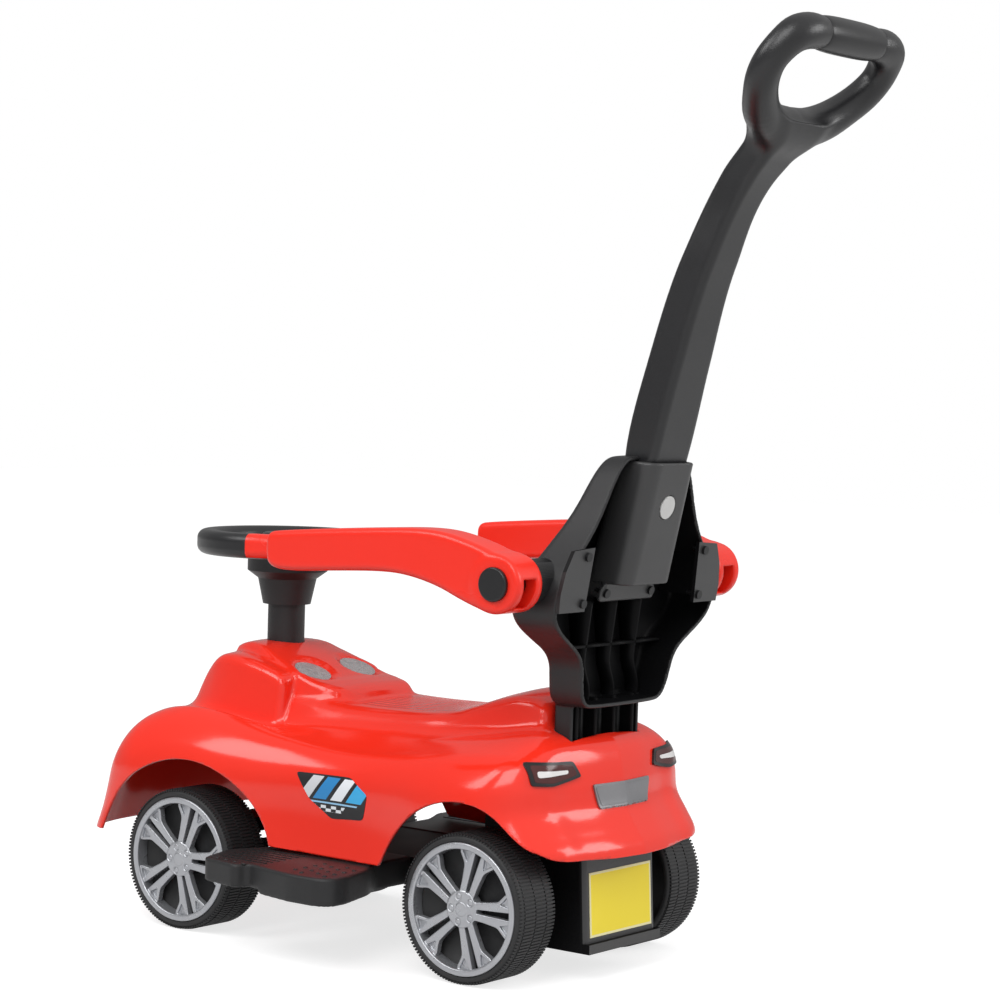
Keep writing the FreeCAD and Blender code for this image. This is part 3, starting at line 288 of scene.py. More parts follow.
def skinOf(field, low, high, pitch, rounds=3):
    # A quad mesh over field = 0, with each point then moved onto the surface
    axes = [np.arange(a, b + pitch, pitch) for a, b in zip(low, high)]
    f = field(np.stack(np.meshgrid(*axes, indexing="ij"), -1))
    inside = f < 0
    n = np.array(f.shape) - 1
    corners = [(i, j, k) for i in (0, 1) for j in (0, 1) for k in (0, 1)]

    def cell(a, c):
        return a[c[0]:c[0] + n[0], c[1]:c[1] + n[1], c[2]:c[2] + n[2]]

    count = sum(cell(inside, c).astype(int) for c in corners)
    active = (count > 0) & (count < 8)
    index = -np.ones(active.shape, int)
    index[active] = np.arange(active.sum())
    total, hits = np.zeros((active.sum(), 3)), np.zeros(active.sum())
    for a in corners:
        for axis in range(3):
            if a[axis]:
                continue
            b = tuple(1 if i == axis else a[i] for i in range(3))
            fa, fb = cell(f, a)[active], cell(f, b)[active]
            cross = (fa < 0) != (fb < 0)
            t = np.where(cross, fa / np.where(cross, fa - fb, 1), 0)
            for i in range(3):
                total[:, i] += cross * (a[i] + (t if i == axis else 0))
            hits += cross
    start = np.array([a[0] for a in axes])
    points = start + (np.argwhere(active) + total / hits[:, None]) * pitch
    faces = []
    for axis in range(3):
        o, q = [i for i in range(3) if i != axis]
        near, far = [slice(None)] * 3, [slice(None)] * 3
        near[axis], far[axis] = slice(0, -1), slice(1, None)
        fa, fb = inside[tuple(near)], inside[tuple(far)]
        for out, cross in ((True, fa & ~fb), (False, ~fa & fb)):
            at = np.argwhere(cross)
            room = (at[:, o] > 0) & (at[:, q] > 0) & (at[:, o] < f.shape[o] - 1) & (at[:, q] < f.shape[q] - 1)
            at = at[room]
            quad = []
            for do, dq in ((-1, -1), (0, -1), (0, 0), (-1, 0)):
                c = at.copy()
                c[:, o] += do
                c[:, q] += dq
                quad.append(index[c[:, 0], c[:, 1], c[:, 2]])
            quad = np.stack(quad, 1)
            faces.append(quad[:, ::-1] if out == (axis == 1) else quad)
    faces = np.concatenate(faces)
    points = settle(field, points, 2)
    for _ in range(rounds):
        points = settle(field, relaxed(points, faces), 1)
    return settle(field, points, 1), faces


def relaxed(points, faces):
    # Moves each point halfway to the middle of its neighbours, which evens out the faces
    total, count = np.zeros_like(points), np.zeros(len(points))
    for k in range(4):
        a, b = faces[:, k], faces[:, (k + 1) % 4]
        for i in range(3):
            total[:, i] += np.bincount(a, points[b, i], len(points)) + np.bincount(b, points[a, i], len(points))
        count += np.bincount(a, minlength=len(points)) + np.bincount(b, minlength=len(points))
    used = count > 0
    made = points.copy()
    made[used] = (points[used] + total[used] / count[used, None]) / 2
    return made


def slopeOf(field, p, h=0.3):
    g = np.zeros_like(p)
    for axis in range(3):
        d = np.zeros(3)
        d[axis] = h
        g[:, axis] = (field(p + d) - field(p - d)) / (2 * h)
    return g


def settle(field, p, rounds):
    for _ in range(rounds):
        g = slopeOf(field, p)
        move = field(p) / np.maximum((g * g).sum(1), 0.25)
        p = p - g * np.clip(move, -1.5, 1.5)[:, None]
    return p


def trimmed(points, faces, keep):
    # Cuts a mesh along keep = 0 and leaves the part where keep is positive
    if faces.shape[1] == 4:
        faces = np.concatenate([faces[:, [0, 1, 2]], faces[:, [0, 2, 3]]])
    good = keep > 0
    n = good[faces].sum(1)
    cut, new, made = {}, [], []

    def crossing(a, b):
        key = (min(a, b), max(a, b))
        if key not in cut:
            t = keep[a] / (keep[a] - keep[b])
            cut[key] = len(points) + len(new)
            new.append(points[a] + t * (points[b] - points[a]))
        return cut[key]

    for tri in faces[(n == 1) | (n == 2)]:
        one = good[tri].sum() == 1
        i = int(np.argmax(good[tri] == one))
        a, b, c = tri[i], tri[(i + 1) % 3], tri[(i + 2) % 3]
        ab, ac = crossing(a, b), crossing(a, c)
        made += [(a, ab, ac)] if one else [(ab, b, c), (ab, c, ac)]
    points = np.concatenate([points, np.array(new).reshape(-1, 3)])
    faces = np.concatenate([faces[n == 3], np.array(made, int).reshape(-1, 3)])
    used = np.unique(faces)
    order = -np.ones(len(points), int)
    order[used] = np.arange(len(used))
    return points[used], order[faces]


def ringPoints(radius, turns):
    angles = [2 * math.pi * k / turns for k in range(turns)]
    return [(radius * math.cos(a), radius * math.sin(a)) for a in angles]


def ringQuads(rings, turns, closed=False, first=0):
    # Joins rings of points, each to the next, and when closed the last to the first
    made = []
    for i in range(rings if closed else rings - 1):
        a, b = first + i * turns, first + (i + 1) % rings * turns
        for k in range(turns):
            m = (k + 1) % turns
            made.append((a + k, b + k, b + m, a + m))
    return made


def placed(name, data):
    made = bpy.data.objects.new(name, data)
    bpy.context.scene.collection.objects.link(made)
    return made


def removed(piece):
    old = piece.data
    bpy.data.objects.remove(piece)
    bpy.data.meshes.remove(old)


def newPiece(name, points, faces, material):
    mesh = bpy.data.meshes.new(name)
    mesh.from_pydata(toFrame(points).tolist(), [], [[int(i) for i in face] for face in faces])
    mesh.validate()
    mesh.update()
    mesh.materials.append(materials[material] if isinstance(material, str) else material)
    mesh.shade_smooth()
    return placed(name, mesh)


def settleModifiers(piece):
    # Turns the modifiers' result into a plain mesh
    made = bpy.data.meshes.new_from_object(piece.evaluated_get(bpy.context.evaluated_depsgraph_get()))
    old = piece.data
    piece.modifiers.clear()
    piece.data = made
    bpy.data.meshes.remove(old)
    return piece


def thickened(piece, thick, side):
    # Gives a skin its thickness, inward for side -1 and outward for 1
    shell = piece.modifiers.new("shell", "SOLIDIFY")
    shell.thickness = thick * mm
    shell.offset = side
    return settleModifiers(piece)


def standFor(piece, body, slot, *nodes):
    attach(piece, body)
    if nodes:
        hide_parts(*nodes)
    return piece


def bothSides(left, body, slot, *nodes):
    # A piece, and its mirror image under the names of the other side
    def other(name):
        return name.replace("left", "right")

    mesh = left.data.copy()
    mesh.name = other(left.name)
    mesh.transform(Matrix.Scale(-1, 4, (0, 1, 0)))
    mesh.flip_normals()
    right = placed(other(left.name), mesh)
    standFor(left, body, slot, *nodes)
    standFor(right, other(body), slot, *map(other, nodes))


# Body shell

bodyValues = {
    "pitch": 2.95,
    "wall": 3.0,
    # side of the lower body: x, half width at the sill, at mid height, at the shoulder
    "side": (
        (-110, 140, 141, 130), (-60, 147, 146, 133), (0, 153, 150, 135), (60, 148, 141, 130),
        (105, 141, 133, 125), (165, 138, 129, 121), (225, 141, 132, 122), (275, 147, 140, 127),
        (325, 152, 147, 132), (375, 154, 149, 134), (430, 156, 150, 134), (500, 160, 150, 132),
    ),
    # top of the lower body: x, valley height, crest height, valley y, crest y
    "top": (
        (-110, 226, 216, 66, 108), (-60, 229, 218, 70, 112), (-20, 228, 218, 73, 114),
        (20, 222, 214, 74, 115), (70, 216, 207, 74, 113), (125, 212, 200, 74, 109),
        (197, 208, 198, 74, 106), (263, 204, 205, 80, 106), (310, 201, 214, 86, 107),
        (350, 206, 221, 88, 108), (385, 211, 221, 86, 109), (415, 212, 214, 84, 110),
        (440, 206, 202, 80, 110), (465, 188, 182, 76, 109), (485, 164, 158, 70, 106),
    ),
    # seen from the side: height, end of the tail or nose; seen from above: y, distance in from it
    "tail": ((100, -104), (118, -103), (128, -100), (140, -92), (158, -80), (183, -76), (205, -71), (218, -66),
             (229, -58), (242, -44)),
    "tailPlan": ((0, 0), (40, 4), (76, 11), (105, 16), (119, 22), (135, 35), (155, 62)),
    "nose": ((70, 510), (88, 504), (110, 496), (130, 491), (156, 486), (185, 476), (215, 458)),
    "nosePlan": ((0, 0), (60, 2), (100, 7), (125, 16), (145, 34), (160, 70)),
    # blocks on top: x, half width at the foot, half width at the edge, edge height, crown height
    "hood": (
        (270, 84, 77, 246, 254), (300, 85, 77, 257, 263), (323, 85, 76, 263, 268), (345, 84, 75, 267, 271),
        (363, 83, 73, 268, 272), (382, 80, 68, 265, 270), (400, 76, 60, 254, 262), (416, 71, 53, 237, 248),
        (432, 64, 45, 215, 230), (448, 56, 37, 192, 207), (466, 47, 29, 168, 181),
    ),
    "saddle": (
        (-60, 72, 56, 214, 218), (-44, 72, 57, 238, 243), (-20, 74, 60, 255, 261), (0, 75, 62, 258, 264),
        (30, 77, 63, 252, 258), (57, 78, 64, 243, 249), (80, 79, 65, 236, 241), (107, 80, 66, 233, 236),
        (155, 80, 66, 231, 234), (209, 80, 66, 231, 234), (257, 80, 66, 233, 236), (300, 78, 63, 236, 240),
    ),
    "cowl": (
        (214, 54, 40, 232, 236), (226, 62, 50, 242, 244), (245, 66, 57, 247, 249), (262, 67, 59, 250, 252),
        (281, 67, 59, 256, 259), (300, 66, 58, 263, 268), (320, 62, 55, 270, 275), (338, 56, 50, 277, 280),
        (352, 50, 45, 279, 281), (372, 44, 38, 278, 280), (392, 36, 30, 272, 276),
    ),
    "frontArch": (351, 51, 119),
    "rearArch": (2, 76, 105, 92),
    "rearArchBack": (
        (-120, 117), (-95, 118), (-83, 121.5), (-73.5, 127), (-62, 132.5), (-49, 142), (-40, 150), (-30, 158),
        (-15, 165.5), (2, 168),
    ),
    "lowEdge": ((-120, 110), (92, 96), (165, 95.5), (240, 97), (300, 97), (430, 88), (520, 88)),
    # sill height, mid height, rise to the shoulder; fall outside the crest over a distance
    "waist": (92.0, 148.0, 50.0),
    "fall": (20.0, 42.0),
    # how softly shoulder, tail and nose meet; hood with saddle, both with the lower body, cowl with all
    "soft": (34, 22, 24),
    "blend": (4, 12, 5),
    # each block's foot height, softness, first and last x
    "blocks": {"hood": (190, 9, (284, 470)), "saddle": (205, 8, (-29, 310)), "cowl": (225, 5, (216, 392))},
    "dialRing": 22.5,
    "dialTilt": 22,
    "dialLip": 1.2,
    "dialSeat": (3.2, 0.6),
    "dialDeep": 24.0,
    # softness of the clearing round the dial, its pod, the pod's foot and its seat
    "dialSoft": (4, 3, 5, 1.5),
    # holes: x, half length, half width, from height; x, radius, from height
    "post": (-43, 10.5, 55.5, 190),
    "column": (351, 19.2, 240),
    # lined part of the seat: from x, to x, half width, each with the length of its fade, and least height
    "seat": ((12, 14), (206, 10), (57, 6), 215),
    "box": ((-125, -172, 60), (520, 172, 298)),
}


def lowerForm(x, y, z):
    v = bodyValues
    sill, mid, shoulder = (curve(v["side"], x, i) for i in (1, 2, 3))
    sillZ, midZ, rise = v["waist"]
    below = 1 - np.clip((z - sillZ) / (midZ - sillZ), -0.5, 1)
    above = np.clip((z - midZ) / rise, 0, 3)
    side = np.where(z < midZ, mid + (sill - mid) * below**2, mid + (shoulder - mid) * above**2)
    valley, crest, vy, cy = (curve(v["top"], x, i) for i in (1, 2, 3, 4))
    drop, over = v["fall"]
    inner = valley + (crest - valley) * ease((y - vy) / (cy - vy))
    top = np.where(y < cy, inner, crest - ((y - cy) / over) ** 2 * drop)
    tail = curve(v["tail"], z) + curve(v["tailPlan"], y)
    nose = curve(v["nose"], z) - curve(v["nosePlan"], y)
    atShoulder, atTail, atNose = v["soft"]
    form = softMax(y - side, z - top, atShoulder)
    return softMax(softMax(form, tail - x, atTail), x - nose, atNose)


def blockForm(x, y, z, name):
    foot, soft, ends = bodyValues["blocks"][name]
    base, edge, edgeZ, crown = (curve(bodyValues[name], x, i) for i in (1, 2, 3, 4))
    half = edge + (base - edge) * np.clip((edgeZ - z) / (edgeZ - foot), -0.4, 1.6)
    top = edgeZ + (crown - edgeZ) * (1 - np.clip(y / edge, 0, 1.3) ** 2)
    form = softMax(z - top, y - half, soft)
    return softMax(form, np.maximum(ends[0] - x, x - ends[1]), soft)


dialLow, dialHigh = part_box("dash_dial_left")
dialCentre = fromFrame((dialLow + dialHigh) / 2)


def dialPlace(x, y, z):
    # Distance from the dial's axis and height above its face
    turn = math.radians(bodyValues["dialTilt"])
    dx, dy, dz = x - dialCentre[0], y - dialCentre[1], z - dialCentre[2]
    along = dx * math.cos(turn) + dz * math.sin(turn)
    return np.hypot(along, dy), dz * math.cos(turn) - dx * math.sin(turn)


def bodyForm(p):
    v = bodyValues
    x, y, z = p[..., 0], np.abs(p[..., 1]), p[..., 2]
    hood, saddle, cowl = (blockForm(x, y, z, name) for name in ("hood", "saddle", "cowl"))
    onTop, onBody, onAll = v["blend"]
    form = softMin(lowerForm(x, y, z), softMin(hood, saddle, onTop), onBody)
    form = softMin(form, cowl, onAll)
    reach, height = dialPlace(x, y, z)
    ring, lip, (seatIn, seatLow) = v["dialRing"], v["dialLip"], v["dialSeat"]
    atClear, atPod, atFoot, atSeat = v["dialSoft"]
    form = softMax(form, -np.maximum(reach - ring - 1, -height + lip), atClear)
    pod = softMax(softMax(reach - ring, height - lip, atPod), -height - v["dialDeep"], atPod)
    form = softMin(form, pod, atFoot)
    return softMax(form, -np.maximum(reach - ring + seatIn, -height - seatLow), atSeat)


def bodyKeep(p):
    # Positive where the skin stays: outside the arches, above the low edge, clear of post and column
    v = bodyValues
    x, y, z = p[:, 0], np.abs(p[:, 1]), p[:, 2]
    fx, fz, fr = v["frontArch"]
    front = np.hypot(x - fx, z - fz) - fr
    cx, cz, a, b = v["rearArch"]
    ahead = (np.hypot((x - cx) / a, (z - cz) / b) - 1) * b
    rear = np.where(x < cx, z - curve(v["rearArchBack"], x), ahead)
    px, half, py, postZ = v["post"]
    post = np.where(z > postZ, np.maximum(np.abs(x - px) - half, y - py), 99)
    columnX, columnR, columnZ = v["column"]
    column = np.where(z > columnZ, np.hypot(x - columnX, y) - columnR, 99)
    low = np.minimum(np.minimum(front, rear), z - curve(v["lowEdge"], x))
    return np.minimum(low, np.minimum(post, column))


def bodyFinish():
    # Glossy red, with fine wavy lines along the seat where the "seat" attribute is set
    made, tree, shader = openFinish("bodyRed", finishes["redGloss"])
    lines = addNode(tree, "ShaderNodeTexWave", {
        "Vector": place(tree), "Scale": 34, "Distortion": 4, "Detail": 1, "Detail Scale": 0.6,
    }, wave_type="BANDS", bands_direction="Y")
    seat = addNode(tree, "ShaderNodeAttribute", attribute_name="seat")
    height = maths(tree, "MULTIPLY", lines.outputs["Fac"], seat.outputs["Fac"])
    bump = addNode(tree, "ShaderNodeBump", {
        "Strength": 0.6, "Distance": 0.0012, "Height": height, "Normal": fedBy(shader, "Normal"),
    })
    feed(tree, shader, {"Normal": bump.outputs["Normal"]})
    return made


def makeBody():
    v = bodyValues
    points, faces = skinOf(bodyForm, *v["box"], v["pitch"])
    points, faces = trimmed(points, faces, bodyKeep(points))
    piece = newPiece("body_red", points, faces, bodyFinish())
    mask = piece.data.attributes.new("seat", "FLOAT", "POINT")
    x, y, z = points[:, 0], np.abs(points[:, 1]), points[:, 2]
    (rear, rearFade), (front, frontFade), (side, sideFade), least = v["seat"]
    seat = ease((x - rear) / rearFade) * ease((front - x) / frontFade) * ease((side - y) / sideFade) * (z > least)
    mask.data.foreach_set("value", seat.astype(np.float32))
    thickened(piece, v["wall"], -1)
    return standFor(piece, "frame", "red_plastic", "body_shell")


body = makeBody()
print("body:", len(body.data.polygons), "faces")


# Trim that lies on the body: grids cut to an outline and laid on the body's surface

trimValues = {
    "pitch": 1.1,
    "plate": ((38.4, 159.2), (45.2, 182.6)),
    "plateThick": 2.0,
    "plateEdge": 2.6,
    # columns as in finishes; scale of the scratches, strength and depth
    "plateFinish": ((0.30, 0.30, 0.31), (0.20, 0.20, 0.21), 24, (0.30, 0.42), (900, 0.1), 0.4, 0.7),
    "plateBrush": ((40, 40, 2600), 0.25, 0.0004),
    "lamp": ((117, 206.3), (66, 205), (58.5, 191), (75, 187.5), (95, 184.5), (117.5, 186.3)),
    "lampThick": 2.2,
    "lens": ((113.8, 203.5), (68.5, 202.4), (63.5, 193), (76, 190.2), (95, 187.4), (114.2, 189)),
    "strip": ((110, 198.4), (74, 197.6), (75.3, 194.4), (110.5, 192.8)),
    "decal": ((219, 171), (152, 172), (128, 158), (132, 134), (172, 131), (200, 147)),
    "decalThick": 0.35,
    # search for the body's surface: starts behind and beside it, length, step
    "search": (-140.0, 190.0, 140, 2.0),
}


def layOn(form, outline, fromBehind, lift, corner):
    # The outline lies in (y, z), seen from behind, or in (x, z), seen from the left
    outline = cornered(outline, corner)
    pitch = trimValues["pitch"]
    low, high = outline.min(0) - pitch, outline.max(0) + pitch
    us, vs = np.arange(low[0], high[0] + pitch, pitch), np.arange(low[1], high[1] + pitch, pitch)
    grid = np.stack(np.meshgrid(us, vs, indexing="ij"), -1).reshape(-1, 2)
    a = np.arange(len(us) * len(vs)).reshape(len(us), len(vs))
    faces = np.stack([a[:-1, :-1], a[1:, :-1], a[1:, 1:], a[:-1, 1:]], -1).reshape(-1, 4)
    flat = np.concatenate([grid, np.zeros((len(grid), 1))], 1)
    flat, faces = trimmed(flat, faces, -outlineDistance(outline, flat[:, 0], flat[:, 1]))
    behind, beside, length, step = trimValues["search"]
    if fromBehind:
        start = np.stack([np.full(len(flat), behind), flat[:, 0], flat[:, 1]], 1)
        way = np.array([1.0, 0, 0])
    else:
        start = np.stack([flat[:, 0], np.full(len(flat), beside), flat[:, 1]], 1)
        way = np.array([0, -1.0, 0])
    near = np.zeros(len(flat))
    for t in np.arange(0, length, step):
        outside = (form(start + way * t) > 0) & (near >= t - step - 0.01)
        near = np.where(outside, t, near)
    far = near + step + 0.5
    for _ in range(18):
        t = (near + far) / 2
        outside = form(start + way * t[:, None]) > 0
        near, far = np.where(outside, t, near), np.where(outside, far, t)
    points = start + way * near[:, None]
    g = slopeOf(form, points)
    return points + g / np.linalg.norm(g, axis=1)[:, None] * lift, faces[:, ::-1], flat[:, :2]


def trimPiece(name, layers):
    # layers: outline, lift, thickness, material, seen from behind, corner radius
    parts = []
    for i, (outline, lift, thick, material, fromBehind, corner) in enumerate(layers):
        points, faces, flat = layOn(bodyForm, outline, fromBehind, lift, corner)
        part = newPiece(name + "Layer%d" % i, points, faces, material)
        uv = part.data.uv_layers.new(name="plan")
        low, high = flat.min(0), flat.max(0)
        share = (flat - low) / (high - low)
        order = np.zeros(len(part.data.loops), int)
        part.data.loops.foreach_get("vertex_index", order)
        uv.data.foreach_set("uv", share[order].ravel())
        thickened(part, thick, 1)
        part.data.set_sharp_from_angle(angle=math.radians(40))
        parts.append(part)
    return joined(name, parts)


def joined(name, parts):
    # One plain mesh from several, each with its own finish
    made = bmesh.new()
    mesh = bpy.data.meshes.new(name)
    for part in parts:
        at = len(mesh.materials)
        for material in part.data.materials:
            mesh.materials.append(material)
        before = len(made.faces)
        made.from_mesh(part.data)
        made.faces.ensure_lookup_table()
        for face in made.faces[before:]:
            face.material_index += at
    made.to_mesh(mesh)
    made.free()
    for part in parts:
        removed(part)
    return placed(name, mesh)


decalValues = {
    # columns as in finishes
    "film": ((0.02, 0.02, 0.022), (0.014, 0.014, 0.016), 30, (0.28, 0.36), (900, 0.1), 0.4, 0.0),
    "slant": 0.34,
    # shares of the height, and along the slant with the tone
    "upper": (0.42, 0.95),
    "stripes": ((0.22, 0.44, (0.05, 0.42, 0.78)), (0.50, 0.66, (0.80, 0.84, 0.88)),
                (0.72, 0.90, (0.03, 0.24, 0.55)), (0.95, 1.10, (0.62, 0.64, 0.67))),
    "squares": (14, (0.14, 0.285), (0.40, 1.00), (0.72, 0.76, 0.80)),
    "line": ((0.33, 0.37), (0.25, 1.05), (0.30, 0.55, 0.78)),
}


def decalFinish():
    # Slanted stripes and a chequered band, in blue, white, grey and black
    v = decalValues
    made, tree, shader = openFinish("decalFilm", v["film"])
    uv = addNode(tree, "ShaderNodeUVMap", uv_map="plan").outputs[0]
    across, up = addNode(tree, "ShaderNodeSeparateXYZ", {0: uv}).outputs[:2]
    slant = maths(tree, "MULTIPLY_ADD", up, v["slant"], across)

    def times(a, b):
        return maths(tree, "MULTIPLY", a, b)

    def band(socket, low, high):
        return times(maths(tree, "GREATER_THAN", socket, low), maths(tree, "LESS_THAN", socket, high))

    colour = fedBy(shader, "Base Color")
    upper = band(up, *v["upper"])
    for low, high, tone in v["stripes"]:
        colour = mixed(tree, times(upper, band(slant, low, high)), colour, tone + (1,))
    scale, height, length, tone = v["squares"]
    squares = addNode(tree, "ShaderNodeTexChecker", {"Scale": scale, "Vector": uv}).outputs["Fac"]
    colour = mixed(tree, times(times(band(up, *height), band(slant, *length)), squares), colour, tone + (1,))
    height, length, tone = v["line"]
    colour = mixed(tree, times(band(up, *height), band(slant, *length)), colour, tone + (1,))
    feed(tree, shader, {"Base Color": colour})
    return made


def plateFinish():
    # Fine level scratches of a brushed plate
    made, tree, shader = openFinish("plateSilver", trimValues["plateFinish"])
    scale, strength, deep = trimValues["plateBrush"]
    stretch = addNode(tree, "ShaderNodeMapping", {"Scale": scale, "Vector": place(tree)})
    scratch = addNode(tree, "ShaderNodeTexNoise", {"Scale": 1.0, "Vector": stretch.outputs[0]})
    bump = addNode(tree, "ShaderNodeBump",
                   {"Strength": strength, "Distance": deep, "Height": scratch.outputs["Fac"]})
    feed(tree, shader, {"Normal": bump.outputs["Normal"]})
    return made


def makeTrim():
    v = trimValues
    (lowY, lowZ), (highY, highZ) = v["plate"]
    e, thick = v["plateEdge"], v["plateThick"]
    rim = [(lowY, lowZ), (highY, highZ), (-highY, highZ), (-lowY, lowZ)]
    panel = [(lowY - e, lowZ + e), (highY - e, highZ - e), (e - highY, highZ - e), (e - lowY, lowZ + e)]
    face = plateFinish()
    plate = trimPiece("number_plate_silver", [
        (rim, 0.1, thick, face, True, 3.0),
        (panel, thick, 0.5, face, True, 2.0),
    ])
    standFor(plate, "frame", "silver_plastic", "number_plate")
    lamp = trimPiece("tail_lamp_left_dark", [
        (v["lamp"], 0.1, v["lampThick"], "blackSmooth", True, 3.0),
        (v["lens"], v["lampThick"], 0.4, "lensRed", True, 2.5),
        (v["strip"], v["lampThick"] + 0.3, 0.6, "lensPale", True, 2.0),
    ])
    bothSides(lamp, "frame", "lamp_dark", "tail_lamp_left")
    film = decalFinish()
    decal = trimPiece("side_decal_left", [(v["decal"], 0.08, v["decalThick"], film, False, 4.0)])
    bothSides(decal, "frame", "lamp_dark")


makeTrim()
print("trim laid on the body")


# Guard arms

armValues = {
    "pitch": 2.0,
    "pivot": (-55, 373),
    "drum": 26.5,
    "from": 143.5,
    "to": 182.0,
    "round": 6.0,
    "outline": (
        (-62, 396), (-45, 403), (-27.8, 408.5), (4.8, 416.2), (37.5, 418), (81, 415.6), (140.8, 411.5),
        (203, 406.5), (219, 404), (220, 387), (217, 371), (190, 368.5), (130, 373), (78.3, 376), (48.4, 374.5),
        (13, 367), (-16.9, 355), (-45, 346.5), (-62, 350),
    ),
    "bore": 12.4,
    # opening behind the drum: width, height, distance behind the pivot, below it
    "slot": (19, 26, 4, 8),
    # rounding of the drum; softness of drum with bar, of the bore's edge and the slot's
    "soft": (4.0, 5, 1, 1.5),
    "box": ((-92, 137.5, 340), (230, 188.0, 424)),
}


def makeArm():
    v = armValues
    outline = roundedOutline(v["outline"])
    middle, half = (v["from"] + v["to"]) / 2, (v["to"] - v["from"]) / 2
    px, pz = v["pivot"]

    def form(p):
        x, y, z = p[..., 0], p[..., 1], p[..., 2]
        bar = roundedPrism(outlineDistance(outline, x, z), y - middle, half, v["round"])
        reach = np.hypot(x - px, z - pz)
        drumRound, atDrum, atBore, atSlot = v["soft"]
        drum = roundedPrism(reach - v["drum"], y - middle, half, drumRound)
        arm = softMax(softMin(bar, drum, atDrum), v["bore"] - reach, atBore)
        wide, high, behind, below = v["slot"]
        slot = np.maximum(x - px + behind, np.abs(z - pz + below) - high / 2)
        return softMax(arm, -np.maximum(np.abs(y - middle) - wide / 2, slot), atSlot)

    points, faces = skinOf(form, *v["box"], v["pitch"])
    left = newPiece("guard_arm_left_red", points, faces, "redSatin")
    bothSides(left, "arm_left", "red_plastic", "guard_arm_left")


makeArm()
print("guard arms made")


# Push handle: stem, neck and loop in one moulding

handleValues = {
    "pitch": 2.4,
    # stem line: height, x of the middle, half width, half depth
    "stem": (
        (370, -72, 29, 16.6), (470, -97.8, 29, 16.6), (492, -102, 30, 18), (576, -123, 28, 18.5),
        (665, -151, 24, 17.5), (745, -193, 22.5, 15.5), (773, -218, 28, 14.5), (800, -239, 42, 14),
    ),
    "corner": 7.0,
    "base": (-218, 773),
    "lean": 38,
    # loop: y, distance up the lean, tube radius
    "loop": (
        (0, 18, 18), (28, 20, 18), (53, 30, 17), (73, 47, 15.5), (86, 64, 15), (91, 81, 14.5), (87, 97, 15),
        (79, 108, 16), (66, 113, 16), (52, 114, 15), (44, 114, 13), (0, 114, 12.5),
    ),
    "join": 16.0,
    "stemEnds": (372.0, 786.0),
    "steps": 42,
    "box": ((-410, -112, 366), (-48, 112, 884)),
    "gripTurns": 40,
    "gripRows": 29,
    "gripHalf": 50,
    "gripMid": 16.6,
    "gripEnd": 13.6,
}


def loopPoint(y, up):
    bx, bz = handleValues["base"]
    lean = math.radians(handleValues["lean"])
    return (bx - math.sin(lean) * up, y, bz + math.cos(lean) * up)


def handleForm(p):
    v = handleValues
    q = p * np.array([1, 0, 1]) + np.abs(p) * np.array([0, 1, 0])
    x, y, z = q[..., 0], q[..., 1], q[..., 2]
    middle = curve(v["stem"], z, 1)
    slope = (curve(v["stem"], z + 2, 1) - curve(v["stem"], z - 2, 1)) / 4
    across = (x - middle) / np.sqrt(1 + slope**2)
    side, face = y - curve(v["stem"], z, 2), np.abs(across) - curve(v["stem"], z, 3)
    stem = roundedCorner(side, face, v["corner"])
    stem = np.maximum(stem, np.maximum(v["stemEnds"][0] - z, z - v["stemEnds"][1]))
    rows = [(i,) + row for i, row in enumerate(v["loop"])]
    steps = np.linspace(0, len(rows) - 1, v["steps"])
    ys, ups, radii = (curve(rows, steps, i) for i in (1, 2, 3))
    loop = tube(q, [loopPoint(a, b) for a, b in zip(ys, ups)], radii)
    return softMin(stem, loop, v["join"])


def makeHandle():
    v = handleValues
    points, faces = skinOf(handleForm, *v["box"], v["pitch"])
    piece = newPiece("push_handle_black", points, faces, "blackGrain")
    standFor(piece, "frame", "black_plastic", "push_handle")
    turns, rows = v["gripTurns"], v["gripRows"]
    centre = np.array(loopPoint(0, v["loop"][-1][1]))
    points = []
    for i in range(rows):
        y = -v["gripHalf"] + 2 * v["gripHalf"] * i / (rows - 1)
        share = abs(y) / v["gripHalf"]
        radius = v["gripEnd"] + (v["gripMid"] - v["gripEnd"]) * math.sqrt(max(0, 1 - share**2.6))
        points += [centre + [a, y, b] for a, b in ringPoints(radius, turns)]
    faces = ringQuads(rows, turns)
    faces += [tuple(range(turns)), tuple(range(len(points) - 1, len(points) - turns - 1, -1))]
    standFor(newPiece("handle_grip_black", points, faces, "blackSmooth"), "frame", "black_plastic", "handle_grip")


makeHandle()
print("push handle made")


# Backrest: a ribbed tray, open behind, on a post

